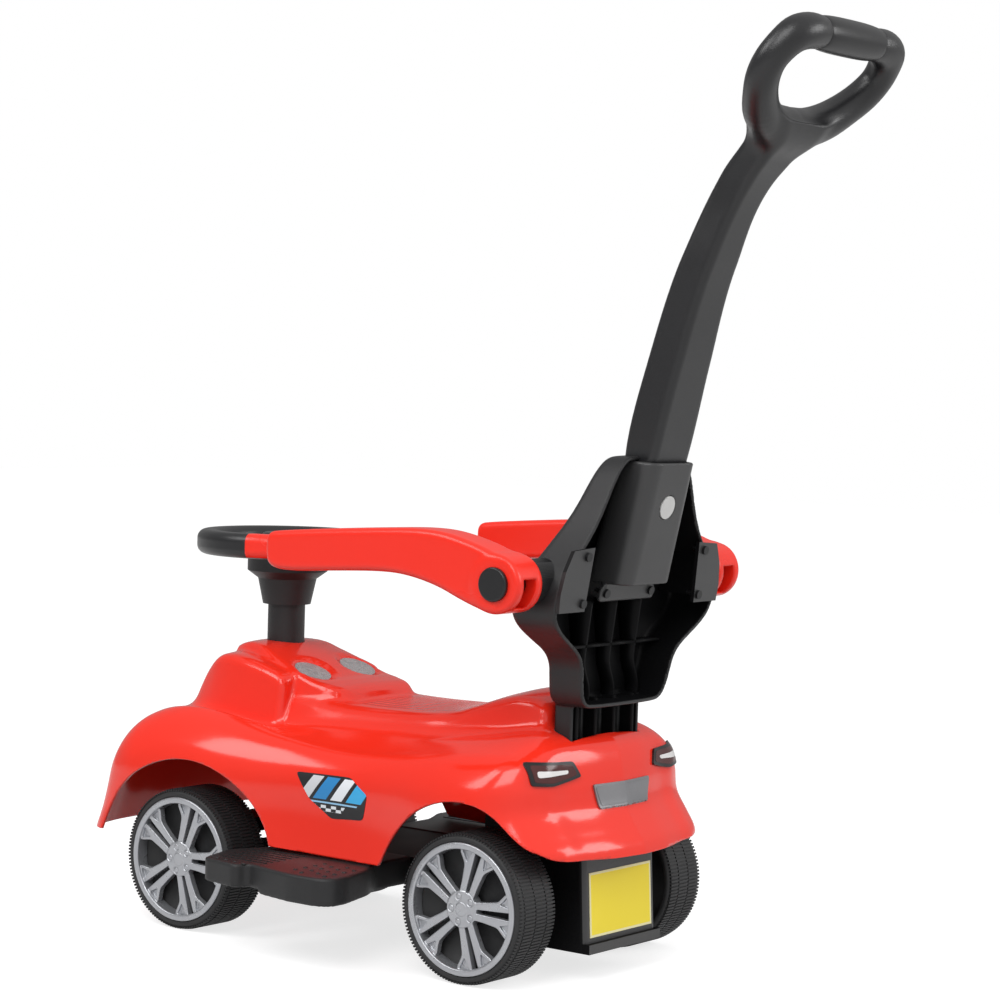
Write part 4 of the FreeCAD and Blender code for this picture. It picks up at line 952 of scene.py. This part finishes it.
backValues = {
    "pitch": 1.9,
    "low": 253.0,
    "rim": -72.0,
    "lean": 0.13,
    "wall": 3.6,
    # softness of the front's edge, the rear rim, the hollow and its lip
    "soft": (9, 2.0, 5, 1.6),
    "outline": (
        (50, 253), (62, 256), (69, 266), (73, 282), (75, 294), (84, 306), (104, 318), (121, 330), (129, 342),
        (130, 354), (128, 366), (119, 382), (106, 396), (93, 412), (82, 428), (73, 446), (66, 462), (58, 476),
        (48, 486), (36, 488),
    ),
    # front face: height, depth ahead of the rear rim
    "depth": ((240, 41), (253, 41), (300, 42), (347, 52), (400, 45), (440, 35), (490, 27)),
    "post": ((-43, 0, 204), (10, 55, 56)),
    # rounding of the post, softness of its pockets' edges
    "postSoft": (1.5, 1.2),
    # pivot's place, radius, from this distance to the side
    "journal": ((-55, 373), 12.6, 60),
    "ribs": (40, 0, -40),
    "ribThick": 2.4,
    "ribAhead": 23.0,
    "ribTop": 352.0,
    "ribJog": (-15.0, 262.0, 36.0),
    # cross rib: height, lengths in a row, length
    "crossRib": (308.0, 4, 41),
    "pocket": (16.0, 3.5, 30.0),
    "ribSteps": 24,
    "ribSink": 0.6,
    # painted shade inside the hollow, as darker black faces: past this share of the wall, from this far ahead of
    # the rim
    "dark": (0.55, 1.5),
    # painted shade on the rear of the post, as darker black faces: behind this x, within this half width
    "postShade": (-39, 52),
    "box": ((-112, -136, 146), (-18, 136, 494)),
}


def backRim(z):
    return backValues["rim"] - backValues["lean"] * (z - backValues["low"])


def makeBackrest():
    v = backValues
    half = np.array(v["outline"], float)
    outline = roundedOutline(np.concatenate([half, (half * [-1, 1])[::-1]]), 2)

    def form(p):
        x, y, z = p[..., 0], p[..., 1], p[..., 2]
        edge = outlineDistance(outline, y, z)
        ahead = x - backRim(z)
        depth = curve(v["depth"], z)
        atFront, atRim, atHollow, atLip = v["soft"]
        outer = softMax(softMax(edge, ahead - depth, atFront), -ahead, atRim)
        hollow = softMax(edge + v["wall"], ahead - depth + v["wall"], atHollow)
        tray = softMax(outer, -hollow, atLip)
        centre, size = v["post"]
        postRound, atPocket = v["postSoft"]
        post = roundedBox(p, centre, size, postRound)
        deep, wallThick, pitch = v["pocket"]
        cell = (y + 1.5 * pitch) % pitch - pitch / 2
        pocket = np.maximum(np.abs(cell) - pitch / 2 + wallThick / 2, np.abs(y) - size[1] + wallThick)
        post = softMax(post, -np.maximum(pocket, x - centre[0] + size[0] - deep), atPocket)
        tray = np.minimum(tray, post)
        (jx, jz), jr, fromY = v["journal"]
        bore = np.where(np.abs(y) > fromY, jr - np.hypot(x - jx, z - jz), -9)
        return np.maximum(tray, bore)

    points, faces = skinOf(form, *v["box"], v["pitch"])
    # Faces deep in the hollow and behind the post are marked for the darker black, which is painted shade
    middle = points[faces].mean(1)
    ahead = middle[:, 0] - backRim(middle[:, 2])
    inset = outlineDistance(outline, middle[:, 1], middle[:, 2])
    within, fromRim = v["dark"]
    deepest = curve(v["depth"], middle[:, 2]) - v["wall"] * within
    inner = (inset < -v["wall"] * within) & (ahead > fromRim) & (ahead < deepest)
    shadeBehindX, shadeHalfY = v["postShade"]
    inner |= (middle[:, 2] < v["low"]) & (middle[:, 0] < shadeBehindX) & (np.abs(middle[:, 1]) < shadeHalfY)
    points, faces = list(points), [tuple(f) for f in faces]
    jog, jogLow, jogHigh = v["ribJog"]
    heights = np.linspace(v["low"] + 1, v["ribTop"], v["ribSteps"])
    t = v["ribThick"] / 2
    for y0 in v["ribs"]:
        path = [(y0 + jog * (1 - ease((z - jogLow) / jogHigh)), z) for z in heights]
        addRib(points, faces, [(y - t, y + t, z) for y, z in path], v)
    across, count, span = v["crossRib"]
    for i in range(count):
        y0 = (i - count / 2) * span
        addRib(points, faces, [(y0, y0 + span, z) for z in (across, across + v["ribThick"])], v)
    piece = newPiece("backrest_black", points, faces, "blackSatin")
    # The second finish is the darker black that paints shade on the marked faces
    piece.data.materials.append(materials["blackDeep"])
    for polygon in piece.data.polygons:
        polygon.material_index = 1 if polygon.index >= len(inner) or inner[polygon.index] else 0
    standFor(piece, "frame", "black_plastic", "backrest_shell")


def ribSpan(z, v):
    start = backRim(z)
    return start + v["ribAhead"], start + curve(v["depth"], np.array(z)) - v["wall"] + v["ribSink"]


def addRib(points, faces, sections, v):
    # A rib through sections (from y, to y, z), between the hollow's floor and its open side
    first = len(points)
    for low, high, z in sections:
        near, far = ribSpan(z, v)
        points += [np.array(p) for p in ((near, low, z), (near, high, z), (far, high, z), (far, low, z))]
    last = len(points) - 4
    faces += ringQuads(len(sections), 4, first=first)
    faces += [(first, first + 1, first + 2, first + 3), (last + 3, last + 2, last + 1, last)]


makeBackrest()
print("backrest made")


# Handle socket: rounded sleeve with a flange at its foot

socketValues = {
    "pitch": 1.7,
    "foot": (-72.0, 369.06),
    "lean": 14.4,
    "half": (23.0, 37.0),
    "high": 117.9,
    "corner": 15.0,
    "tilt": 0.2,
    "taper": 2.5,
    "edge": 2.2,
    "hollow": (17.2, 29.3, 6.0),
    "flange": (44.0, -17.0, 2.0),
    "flangeSlope": 8.0,
    "flangeThick": 4.0,
    "flangeCorner": 4.0,
    "button": (11.4, 80.0),
    # softness of the hollow's edge, rounding of the flange, softness of its foot and of the button's hole
    "soft": (1.5, 0.8, 2, 0.8),
    "box": ((-142, -50, 344), (-36, 50, 500)),
}


def makeSocket():
    v = socketValues
    lean = math.radians(v["lean"])
    forward = np.array([math.cos(lean), 0, math.sin(lean)])
    up = np.array([-math.sin(lean), 0, math.cos(lean)])
    foot = np.array([v["foot"][0], 0, v["foot"][1]])
    halfX, halfY = v["half"]
    wide, low, high = v["flange"]
    slope = v["flangeSlope"]
    plate = cornered([(wide, low), (wide, high - slope), (wide - slope, high), (slope - wide, high),
                      (-wide, high - slope), (-wide, low)], v["flangeCorner"])

    def form(p):
        q = p - foot
        a, y, c = q @ forward, q[..., 1], q @ up
        grow = v["taper"] * (1 - np.clip(c / v["high"], 0, 1))
        plan = roundedCorner(np.abs(a) - halfX - grow, np.abs(y) - halfY - grow, v["corner"])
        sleeve = roundedPrism(plan, c + v["tilt"] * a - v["high"] / 2, v["high"] / 2, v["edge"])
        hx, hy, hz = v["hollow"]
        atHollow, flangeRound, atFoot, atButton = v["soft"]
        sleeve = softMax(sleeve, -np.maximum(np.maximum(np.abs(a) - hx, np.abs(y) - hy), hz - c), atHollow)
        t = v["flangeThick"] / 2
        flange = roundedPrism(outlineDistance(plate, y, c), a + t, t, flangeRound)
        form = softMin(sleeve, flange, atFoot)
        br, bc = v["button"]
        return softMax(form, -np.maximum(np.hypot(y, c - bc) - br, a), atButton)

    points, faces = skinOf(form, *v["box"], v["pitch"])
    piece = newPiece("handle_socket_grey", points, faces, "greySatin")
    standFor(piece, "frame", "black_plastic", "handle_socket")


makeSocket()
print("handle socket made")


# Footboards, with anti-slip domes and bars

boardValues = {
    "pitch": 2.2,
    "outline": ((124, 64), (124, 120), (111, 145), (98, 192), (98, 212), (109, 221), (143, 222), (180, 214.5),
                (206, 208.5), (211, 222), (259, 213), (274, 163), (256, 124), (256, 64)),
    "corner": 7.0,
    "top": 93.0,
    "low": (67.0, 71.0, 186.0),
    "edge": 1.8,
    "dome": (2.4, 1.1),
    # first dome, pitch, how many across and along
    "domes": (113.0, 206.0, 14.0, 4, 4),
    "frontDomes": (208.0, 212.0, 13.0, 4),
    "bar": (56.0, 1.4, 0.7),
    "bars": (222.0, 196.0, 9.0, 7),
    "box": ((90, 58, 60), (278, 230, 99)),
}


def newNodes(name, inputs):
    # A Geometry Nodes tree: itself, what comes in, and the identifiers of its named inputs
    tree = bpy.data.node_groups.new(name, "GeometryNodeTree")
    face = tree.interface
    face.new_socket(name="Geometry", in_out="INPUT", socket_type="NodeSocketGeometry")
    sockets = {}
    for label, kind, value in inputs:
        made = face.new_socket(name=label, in_out="INPUT", socket_type="NodeSocket" + kind)
        made.default_value = value
        sockets[label] = made.identifier
    face.new_socket(name="Geometry", in_out="OUTPUT", socket_type="NodeSocketGeometry")
    return tree, tree.nodes.new("NodeGroupInput").outputs, sockets


def endNodes(tree, shape, material):
    real = addNode(tree, "GeometryNodeRealizeInstances", {0: shape})
    paint = addNode(tree, "GeometryNodeSetMaterial",
                    {"Geometry": real.outputs[0], "Material": materials[material]})
    addNode(tree, "NodeGroupOutput", {0: paint.outputs[0]})


def runNodes(piece, tree, sockets, sizes):
    run = piece.modifiers.new("nodes", "NODES")
    run.node_group = tree
    for label, value in sizes.items():
        run[sockets[label]] = value
    return settleModifiers(piece)


def scatter(name, points, size, material, bar=False):
    # Puts one dome, or one bar, on each point
    labels = ("Length", "Width", "Height")
    tree, given, sockets = newNodes(name + "Tree", [(label, "Float", 0.0) for label in labels])
    scale = addNode(tree, "ShaderNodeCombineXYZ", {i: given[label] for i, label in enumerate(labels)})
    if bar:
        shape = addNode(tree, "GeometryNodeMeshCube")
    else:
        shape = addNode(tree, "GeometryNodeMeshUVSphere", {"Segments": 12, "Rings": 6, "Radius": 0.5})
    put = addNode(tree, "GeometryNodeInstanceOnPoints", {
        "Points": given["Geometry"], "Instance": shape.outputs["Mesh"], "Scale": scale.outputs[0],
    })
    endNodes(tree, put.outputs[0], material)
    piece = newPiece(name, points, [], material)
    runNodes(piece, tree, sockets, {label: value * mm for label, value in zip(labels, size)})
    if not bar:
        piece.data.shade_smooth()
    return piece


def makeFootboards():
    v = boardValues
    outline = cornered(v["outline"], v["corner"])
    lowRear, lowFront, stepX = v["low"]

    def form(p):
        x, y, z = p[..., 0], p[..., 1], p[..., 2]
        low = lowRear + (lowFront - lowRear) * ease((x - stepX) / 5)
        middle, half = (v["top"] + low) / 2, (v["top"] - low) / 2
        return roundedPrism(outlineDistance(outline, x, y), z - middle, half, v["edge"])

    points, faces = skinOf(form, *v["box"], v["pitch"])
    board = newPiece("footboard_left_black", points, faces, "blackSatin")
    x0, y0, pitch, across, along = v["domes"]
    spots = [(i, j) for i in range(along) for j in range(across)]
    domes = [(x0 + i * pitch, y0 - j * pitch - (i % 2) * pitch / 2, v["top"]) for i, j in spots]
    fx, fy, step, row = v["frontDomes"]
    domes += [(fx + i * step, fy - i * 2, v["top"]) for i in range(row)]
    bx, by, gap, count = v["bars"]
    bars = [(bx, by - i * gap, v["top"]) for i in range(count)]
    wide, high = v["dome"]
    length, thick, rise = v["bar"]
    relief = joined("footboard_left_relief", [
        scatter("domes", domes, (wide * 2, wide * 2, high * 2), "blackSatin"),
        scatter("bars", bars, (length, thick, rise * 2), "blackSatin", True),
    ])
    bothSides(board, "frame", "black_plastic", "footboard_left")
    bothSides(relief, "frame", "black_plastic")


makeFootboards()
print("footboards made")


# Wheels: covers with five split spokes, and ribbed tyres

wheelValues = {
    "out": 146.5,
    "centreZ": 70.0,
    "base": 356.0,
    "coverPitch": 0.75,
    "coverR": 61.5,
    # discs: radius (of the ring, its width), middle depth, half depth, rounding
    "ring": (6.2, -6.5, 7.5, 1.6),
    "spokes": 5,
    # half of a split spoke: out along it, away from its middle, as shares of the cover's radius
    "halfSpoke": ((0.20, 0.026), (0.91, 0.058), (0.91, 0.300), (0.82, 0.345), (0.66, 0.190), (0.40, 0.150),
                  (0.20, 0.135)),
    "spokeTurn": 36,
    "fork": ((43, 9.6), (51.5, 18), (54.5, 7.6)),
    # corners of the spoke's outline and rounding of its edges; corners, depth and softness of the fork
    "spokeRound": (3.0, 0.9),
    "forkCut": (1.5, 3.0, 0.7),
    # softness of the large joins and of the lugs' pits and the cap
    "coverSoft": (1.2, 0.6),
    "spokeTop": -2.0,
    "spokeThick": 7.0,
    "hub": (17.0, -6.6, 5.6, 1.2),
    "lugRing": 12.2,
    "lug": (2.5, -3, 1.8, 0.6),
    "lugPit": (0.9, -2.2),
    "cap": (6.4, -3, 2.7, 0.6),
    "tyreR": 69.0,
    "tyreW": 53.0,
    "tyreTurns": 128,
    "ribs": 128,
    "ribHeight": 0.9,
    "ribWidth": 1.9,
    # across the tread: middle of a band from the outer face, its length, share of a pitch turned;
    # the shoulder's band has its share of the ribs' height and its drop below the tread as well
    "bands": ((13.5, 15.0, 0.0), (30.0, 15.0, 0.5), (45.0, 12.0, 0.0)),
    "shoulder": (2.6, 4.6, 0.5, 0.8, -0.9),
}


def disc(r, w, radius, middle, half, rounding):
    return roundedPrism(r - radius, w - middle, half, rounding)


def coverForm(p):
    v = wheelValues
    x, z, w = p[..., 0], p[..., 2], p[..., 1]
    r = np.hypot(x, z)
    rim = v["coverR"]
    ringWide, *ringDepth = v["ring"]
    ring = disc(np.maximum(r - rim, rim - ringWide - r), w, 0, *ringDepth)
    pitch = 2 * math.pi / v["spokes"]
    angle = np.arctan2(z, x) - math.radians(v["spokeTurn"])
    angle = (angle + pitch / 2) % pitch - pitch / 2
    u, s = r * np.cos(angle), np.abs(r * np.sin(angle))
    corner, spokeRound = v["spokeRound"]
    forkCorner, forkDeep, atFork = v["forkCut"]
    atJoin, atSmall = v["coverSoft"]
    outline = cornered(np.array(v["halfSpoke"]) * rim, corner)
    top, thick = v["spokeTop"], v["spokeThick"]
    half = roundedPrism(outlineDistance(outline, u, s), w - top + thick / 2, thick / 2, spokeRound)
    fork = outlineDistance(cornered(v["fork"], forkCorner), u, s)
    half = softMax(half, -np.maximum(fork, top - forkDeep - w), atFork)
    form = softMin(softMin(ring, half, atJoin), disc(r, w, *v["hub"]), atJoin)
    turned = (np.arctan2(z, x) + pitch / 2) % pitch - pitch / 2
    lugX, lugY = r * np.cos(turned) - v["lugRing"], r * np.sin(turned)
    lug = np.hypot(lugX, lugY)
    room, floor = v["lugPit"]
    form = softMax(form, -np.maximum(lug - v["lug"][0] - room, floor - w), atSmall)
    form = np.minimum(form, disc(lug, w, *v["lug"]))
    return softMin(form, disc(r, w, *v["cap"]), atSmall)


def tyreProfile():
    # (radius, distance in from the outer face), round the section once
    r, wide = wheelValues["tyreR"], wheelValues["tyreW"]
    return [(61.7, 15.0), (61.7, 0.8), (62.6, 0.0), (64.2, 0.0), (66.2, 0.5), (67.9, 1.9), (68.8, 4.0), (r, 6.5),
            (r, wide - 7), (68.4, wide - 3.6), (66.8, wide - 1.2), (64.5, wide), (62.5, wide - 0.6),
            (62.0, wide - 2), (62.0, 21), (14, 21), (14, 33), (5.2, 33), (5.2, 15), (20, 15)]


def ribTree():
    # Instances one rib round the tyre for each band, and joins them to the tyre's body
    v = wheelValues
    tree, given, sockets = newNodes("tyreRibs", (
        ("Ribs", "Int", v["ribs"]), ("Radius", "Float", v["tyreR"] * mm),
        ("Rib width", "Float", v["ribWidth"] * mm), ("Rib height", "Float", v["ribHeight"] * mm),
        ("Outer face", "Float", 0.0),
    ))
    join = addNode(tree, "GeometryNodeJoinGeometry", {0: given["Geometry"]})

    def vector(feeds):
        return addNode(tree, "ShaderNodeCombineXYZ", feeds).outputs[0]

    bands = [(centre, length, turn, 1.0, 0.0) for centre, length, turn in v["bands"]]
    bands.append(v["shoulder"])
    for centre, length, turn, high, sunk in bands:
        circle = addNode(tree, "GeometryNodeMeshCircle", {
            "Vertices": given["Ribs"], "Radius": maths(tree, "ADD", given["Radius"], sunk * mm),
        })
        rise = maths(tree, "MULTIPLY", given["Rib height"], 2.0 * high)
        size = vector({0: rise, 1: given["Rib width"], 2: length * mm})
        block = addNode(tree, "GeometryNodeMeshCube", {"Size": size})
        spot = addNode(tree, "GeometryNodeInputPosition").outputs[0]
        aim = addNode(tree, "FunctionNodeAlignRotationToVector", {"Vector": spot}, axis="X")
        put = addNode(tree, "GeometryNodeInstanceOnPoints", {
            "Points": circle.outputs["Mesh"], "Instance": block.outputs["Mesh"],
            "Rotation": aim.outputs["Rotation"],
        })
        move = addNode(tree, "GeometryNodeTransform", {
            "Geometry": put.outputs["Instances"],
            "Rotation": vector({2: maths(tree, "DIVIDE", 2 * math.pi * turn, given["Ribs"])}),
            "Translation": vector({2: maths(tree, "SUBTRACT", given["Outer face"], centre * mm)}),
        })
        feed(tree, join, {0: move.outputs["Geometry"]})
    endNodes(tree, join.outputs[0], "tyreBlack")
    return tree, sockets


def makeTyre():
    # Made about the z axis with its outer face at z = 0, then turned so that the face looks left
    v = wheelValues
    turns, profile = v["tyreTurns"], tyreProfile()
    points = []
    for r, depth in profile:
        points += [(a * mm, b * mm, -depth * mm) for a, b in ringPoints(r, turns)]
    faces = [(a, d, c, b) for a, b, c, d in ringQuads(len(profile), turns, closed=True)]
    mesh = bpy.data.meshes.new("tyre")
    mesh.from_pydata(points, [], faces)
    mesh.materials.append(materials["tyreBlack"])
    piece = placed("tyre", mesh)
    runNodes(piece, *ribTree(), {"Ribs": v["ribs"], "Rib height": v["ribHeight"] * mm})
    made = bmesh.new()
    made.from_mesh(piece.data)
    bmesh.ops.recalc_face_normals(made, faces=made.faces)
    made.to_mesh(piece.data)
    made.free()
    for polygon in piece.data.polygons:
        polygon.use_smooth = len(polygon.vertices) == 4 and polygon.index < len(faces)
    piece.data.transform(Matrix.Rotation(math.radians(-90), 4, "X"))
    return piece


def makeWheels():
    v = wheelValues
    reach = v["coverR"] + 3
    points, faces = skinOf(coverForm, (-reach, -18, -reach), (reach, 4, reach), v["coverPitch"], 0)
    tyre = makeTyre()
    for end, x in (("front", v["base"]), ("rear", 0.0)):
        at = points + [x, v["out"], v["centreZ"]]
        cover = newPiece(end + "_wheel_cover_left_silver", at, faces, "silverLacquer")
        mesh = tyre.data.copy()
        mesh.transform(Matrix.Translation(Vector(toFrame((x, v["out"], v["centreZ"])))))
        ring = placed(end + "_tyre_left_ribbed", mesh)
        for piece, node, slot in ((cover, "wheel_cover", "silver_plastic"), (ring, "tyre", "tyre_black")):
            bothSides(piece, end + "_wheel_left", slot, "%s_%s_left" % (end, node))
    removed(tyre)


makeWheels()
print("wheels made")


# Camera at the photograph's angle

cameraValues = {
    "lens": 99.4,
    "sensor": 36.0,
    "place": (-1534.3, 2122.4, 558.0),
    "yaw": 37.25,
    "pitch": 2.58,
    "roll": 1.67,
}


def makeCamera():
    v = cameraValues
    yaw, pitch, roll = (math.radians(v[k]) for k in ("yaw", "pitch", "roll"))
    look = Vector((math.sin(yaw) * math.cos(pitch), -math.cos(yaw) * math.cos(pitch), -math.sin(pitch)))
    right = Vector((-math.cos(yaw), -math.sin(yaw), 0))
    up = right.cross(look)
    turnedRight = right * math.cos(roll) + up * math.sin(roll)
    turnedUp = up * math.cos(roll) - right * math.sin(roll)
    data = bpy.data.cameras.new("camera")
    data.lens = v["lens"]
    data.sensor_width = v["sensor"]
    camera = placed("camera", data)
    stand = Matrix((turnedRight, turnedUp, -look)).transposed().to_4x4()
    stand.translation = Vector(toFrame(v["place"]))
    camera.matrix_world = stand
    bpy.context.scene.camera = camera


makeCamera()


# Studio: pale floor, soft boxes, white surroundings

studioValues = {
    "floor": (0.46, 0.46, 0.46),
    "floorGlow": 0.74,
    # strength of the surroundings away from the bright side and towards it
    "ambient": (0.34, 0.95),
    "brightSide": (-0.75, 0.10, 0.65),
    "brightFrom": -0.2,
    # share of the floor's glow that reflections see
    "floorShine": 0.55,
    "floorReach": 9.0,
    # place, aimed at, size, power
    "boxes": (
        ((-0.7, 1.9, 2.1), (0, 0, 0.3), 1.4, 29),
        ((1.2, 1.7, 2.2), (0.1, 0, 0.25), 1.2, 22),
        ((-2.0, -1.2, 1.3), (-0.1, 0, 0.4), 0.9, 13),
    ),
}


def makeStudio():
    v = studioValues
    scene = bpy.context.scene
    scene.view_settings.view_transform = "Standard"
    world = bpy.data.worlds.new("studio")
    world.use_nodes = True
    scene.world = world
    tree = world.node_tree
    path = addNode(tree, "ShaderNodeLightPath")
    seen = maths(tree, "MAXIMUM", path.outputs["Is Camera Ray"], path.outputs["Is Transmission Ray"])
    way = addNode(tree, "ShaderNodeTexCoord").outputs["Generated"]
    toward = addNode(tree, "ShaderNodeVectorMath", {0: way, 1: v["brightSide"]}, operation="DOT_PRODUCT")
    dim, bright = v["ambient"]
    around = addNode(tree, "ShaderNodeMapRange", {
        "Value": toward.outputs["Value"], "From Min": v["brightFrom"], "To Min": dim, "To Max": bright,
    })
    level = addNode(tree, "ShaderNodeMix", {0: seen, 2: around.outputs["Result"], 3: 1.0})
    feed(tree, tree.nodes["Background"], {"Color": (1, 1, 1, 1), "Strength": level.outputs[0]})

    mesh = bpy.data.meshes.new("floor")
    r = v["floorReach"]
    mesh.from_pydata([(-r, -r, 0), (r, -r, 0), (r, r, 0), (-r, r, 0)], [], [(0, 1, 2, 3)])
    floor = placed("floor", mesh)
    pale = bpy.data.materials.new("paleFloor")
    pale.use_nodes = True
    tree = pale.node_tree
    shader = feed(tree, tree.nodes["Principled BSDF"], {
        "Base Color": v["floor"] + (1,), "Roughness": 0.9, "Specular IOR Level": 0.0,
    })
    path = addNode(tree, "ShaderNodeLightPath").outputs
    seen = maths(tree, "MULTIPLY_ADD", path["Is Glossy Ray"], v["floorShine"], path["Is Camera Ray"])
    glow = addNode(tree, "ShaderNodeEmission", {"Strength": maths(tree, "MULTIPLY", seen, v["floorGlow"])})
    both = addNode(tree, "ShaderNodeAddShader", {0: shader.outputs[0], 1: glow.outputs[0]})
    feed(tree, tree.nodes["Material Output"], {"Surface": both.outputs[0]})
    mesh.materials.append(pale)
    for i, (spot, aim, size, power) in enumerate(v["boxes"]):
        data = bpy.data.lights.new("softBox%d" % i, "AREA")
        data.energy = power
        data.size = size
        lamp = placed("softBox%d" % i, data)
        lamp.location = spot
        lamp.rotation_mode = "QUATERNION"
        lamp.rotation_quaternion = (Vector(aim) - Vector(spot)).to_track_quat("-Z", "Y")


makeStudio()
print("camera and studio made")


# Finishes of the CAD nodes that stay as they are

nodeFinishes = {
    # Parts under the body take the darker black as painted shade
    "blackDeep": ("chassis_pan", "front_axle_beam", "knuckle_left", "knuckle_right", "tie_rod"),
    "blackSatin": ("steering_column", "steering_bell"),
    "blackGrain": ("steering_wheel", "hub_pad"),
    "blackSmooth": ("pivot_cap_left", "pivot_cap_right"),
    "redSatin": ("steering_inserts",),
    "buttonGrey": ("lock_button",),
    "dialSilver": ("dash_dial_left", "dash_dial_right"),
    "zincSteel": ("rear_axle", "steering_rod", "pan_screws", "box_screws", "beam_screws", "footboard_screws",
                  "kingpin_clip_left", "kingpin_clip_right")
    + tuple(e + "_push_nut_" + s for e in ("front", "rear") for s in ("left", "right")),
    "darkSteel": ("bracket_screws", "socket_screws"),
}


def dress(node, *finished):
    mesh = frame["nodes"][node].data
    mesh.materials.clear()
    for material in finished:
        mesh.materials.append(material)
    return mesh


for finishName, names in nodeFinishes.items():
    for name in names:
        dress(name, materials[finishName])


stickerValues = {
    "border": 0.0022,
    "borderTone": (0.86, 0.80, 0.46, 1),
}


def stickerFinish():
    # Plain yellow film with a thin pale border, placed by the sticker's own box
    v = stickerValues
    low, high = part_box("rear_sticker")
    made, tree, shader = openFinish("stickerFilm", finishes["yellowFilm"])
    apart = addNode(tree, "ShaderNodeSeparateXYZ", {0: place(tree)}).outputs
    masks = []
    for axis in (1, 2):
        away = maths(tree, "ABSOLUTE", maths(tree, "SUBTRACT", apart[axis], (low[axis] + high[axis]) / 2))
        masks.append(maths(tree, "GREATER_THAN", away, (high[axis] - low[axis]) / 2 - v["border"]))
    tone = mixed(tree, maths(tree, "MAXIMUM", *masks), fedBy(shader, "Base Color"), v["borderTone"])
    feed(tree, shader, {"Base Color": tone})
    return made


dress("rear_sticker", stickerFinish())

# Painted light and shade on the axle box and the brackets: faces turned to the rear get the lighter grey as
# painted light, the others the darker black as painted shade; the brackets' outer ends are black like the backrest
litRearNormal, outerEnd = -0.5, 0.127
axleBox = dress("rear_axle_box", materials["blackDeep"], materials["greySatin"])
for polygon in axleBox.polygons:
    polygon.material_index = 1 if polygon.normal.x < litRearNormal else 0
for side in ("left", "right"):
    # Bracket: outer ends black, rear faces painted light in grey, the rest painted shade in the darker black
    bracket = dress("arm_bracket_" + side, *(materials[name] for name in ("blackDeep", "greySatin", "blackSatin")))
    for polygon in bracket.polygons:
        outside = abs(polygon.center.y) > outerEnd
        polygon.material_index = 2 if outside else 1 if polygon.normal.x < litRearNormal else 0
print("finishes set on the remaining nodes")
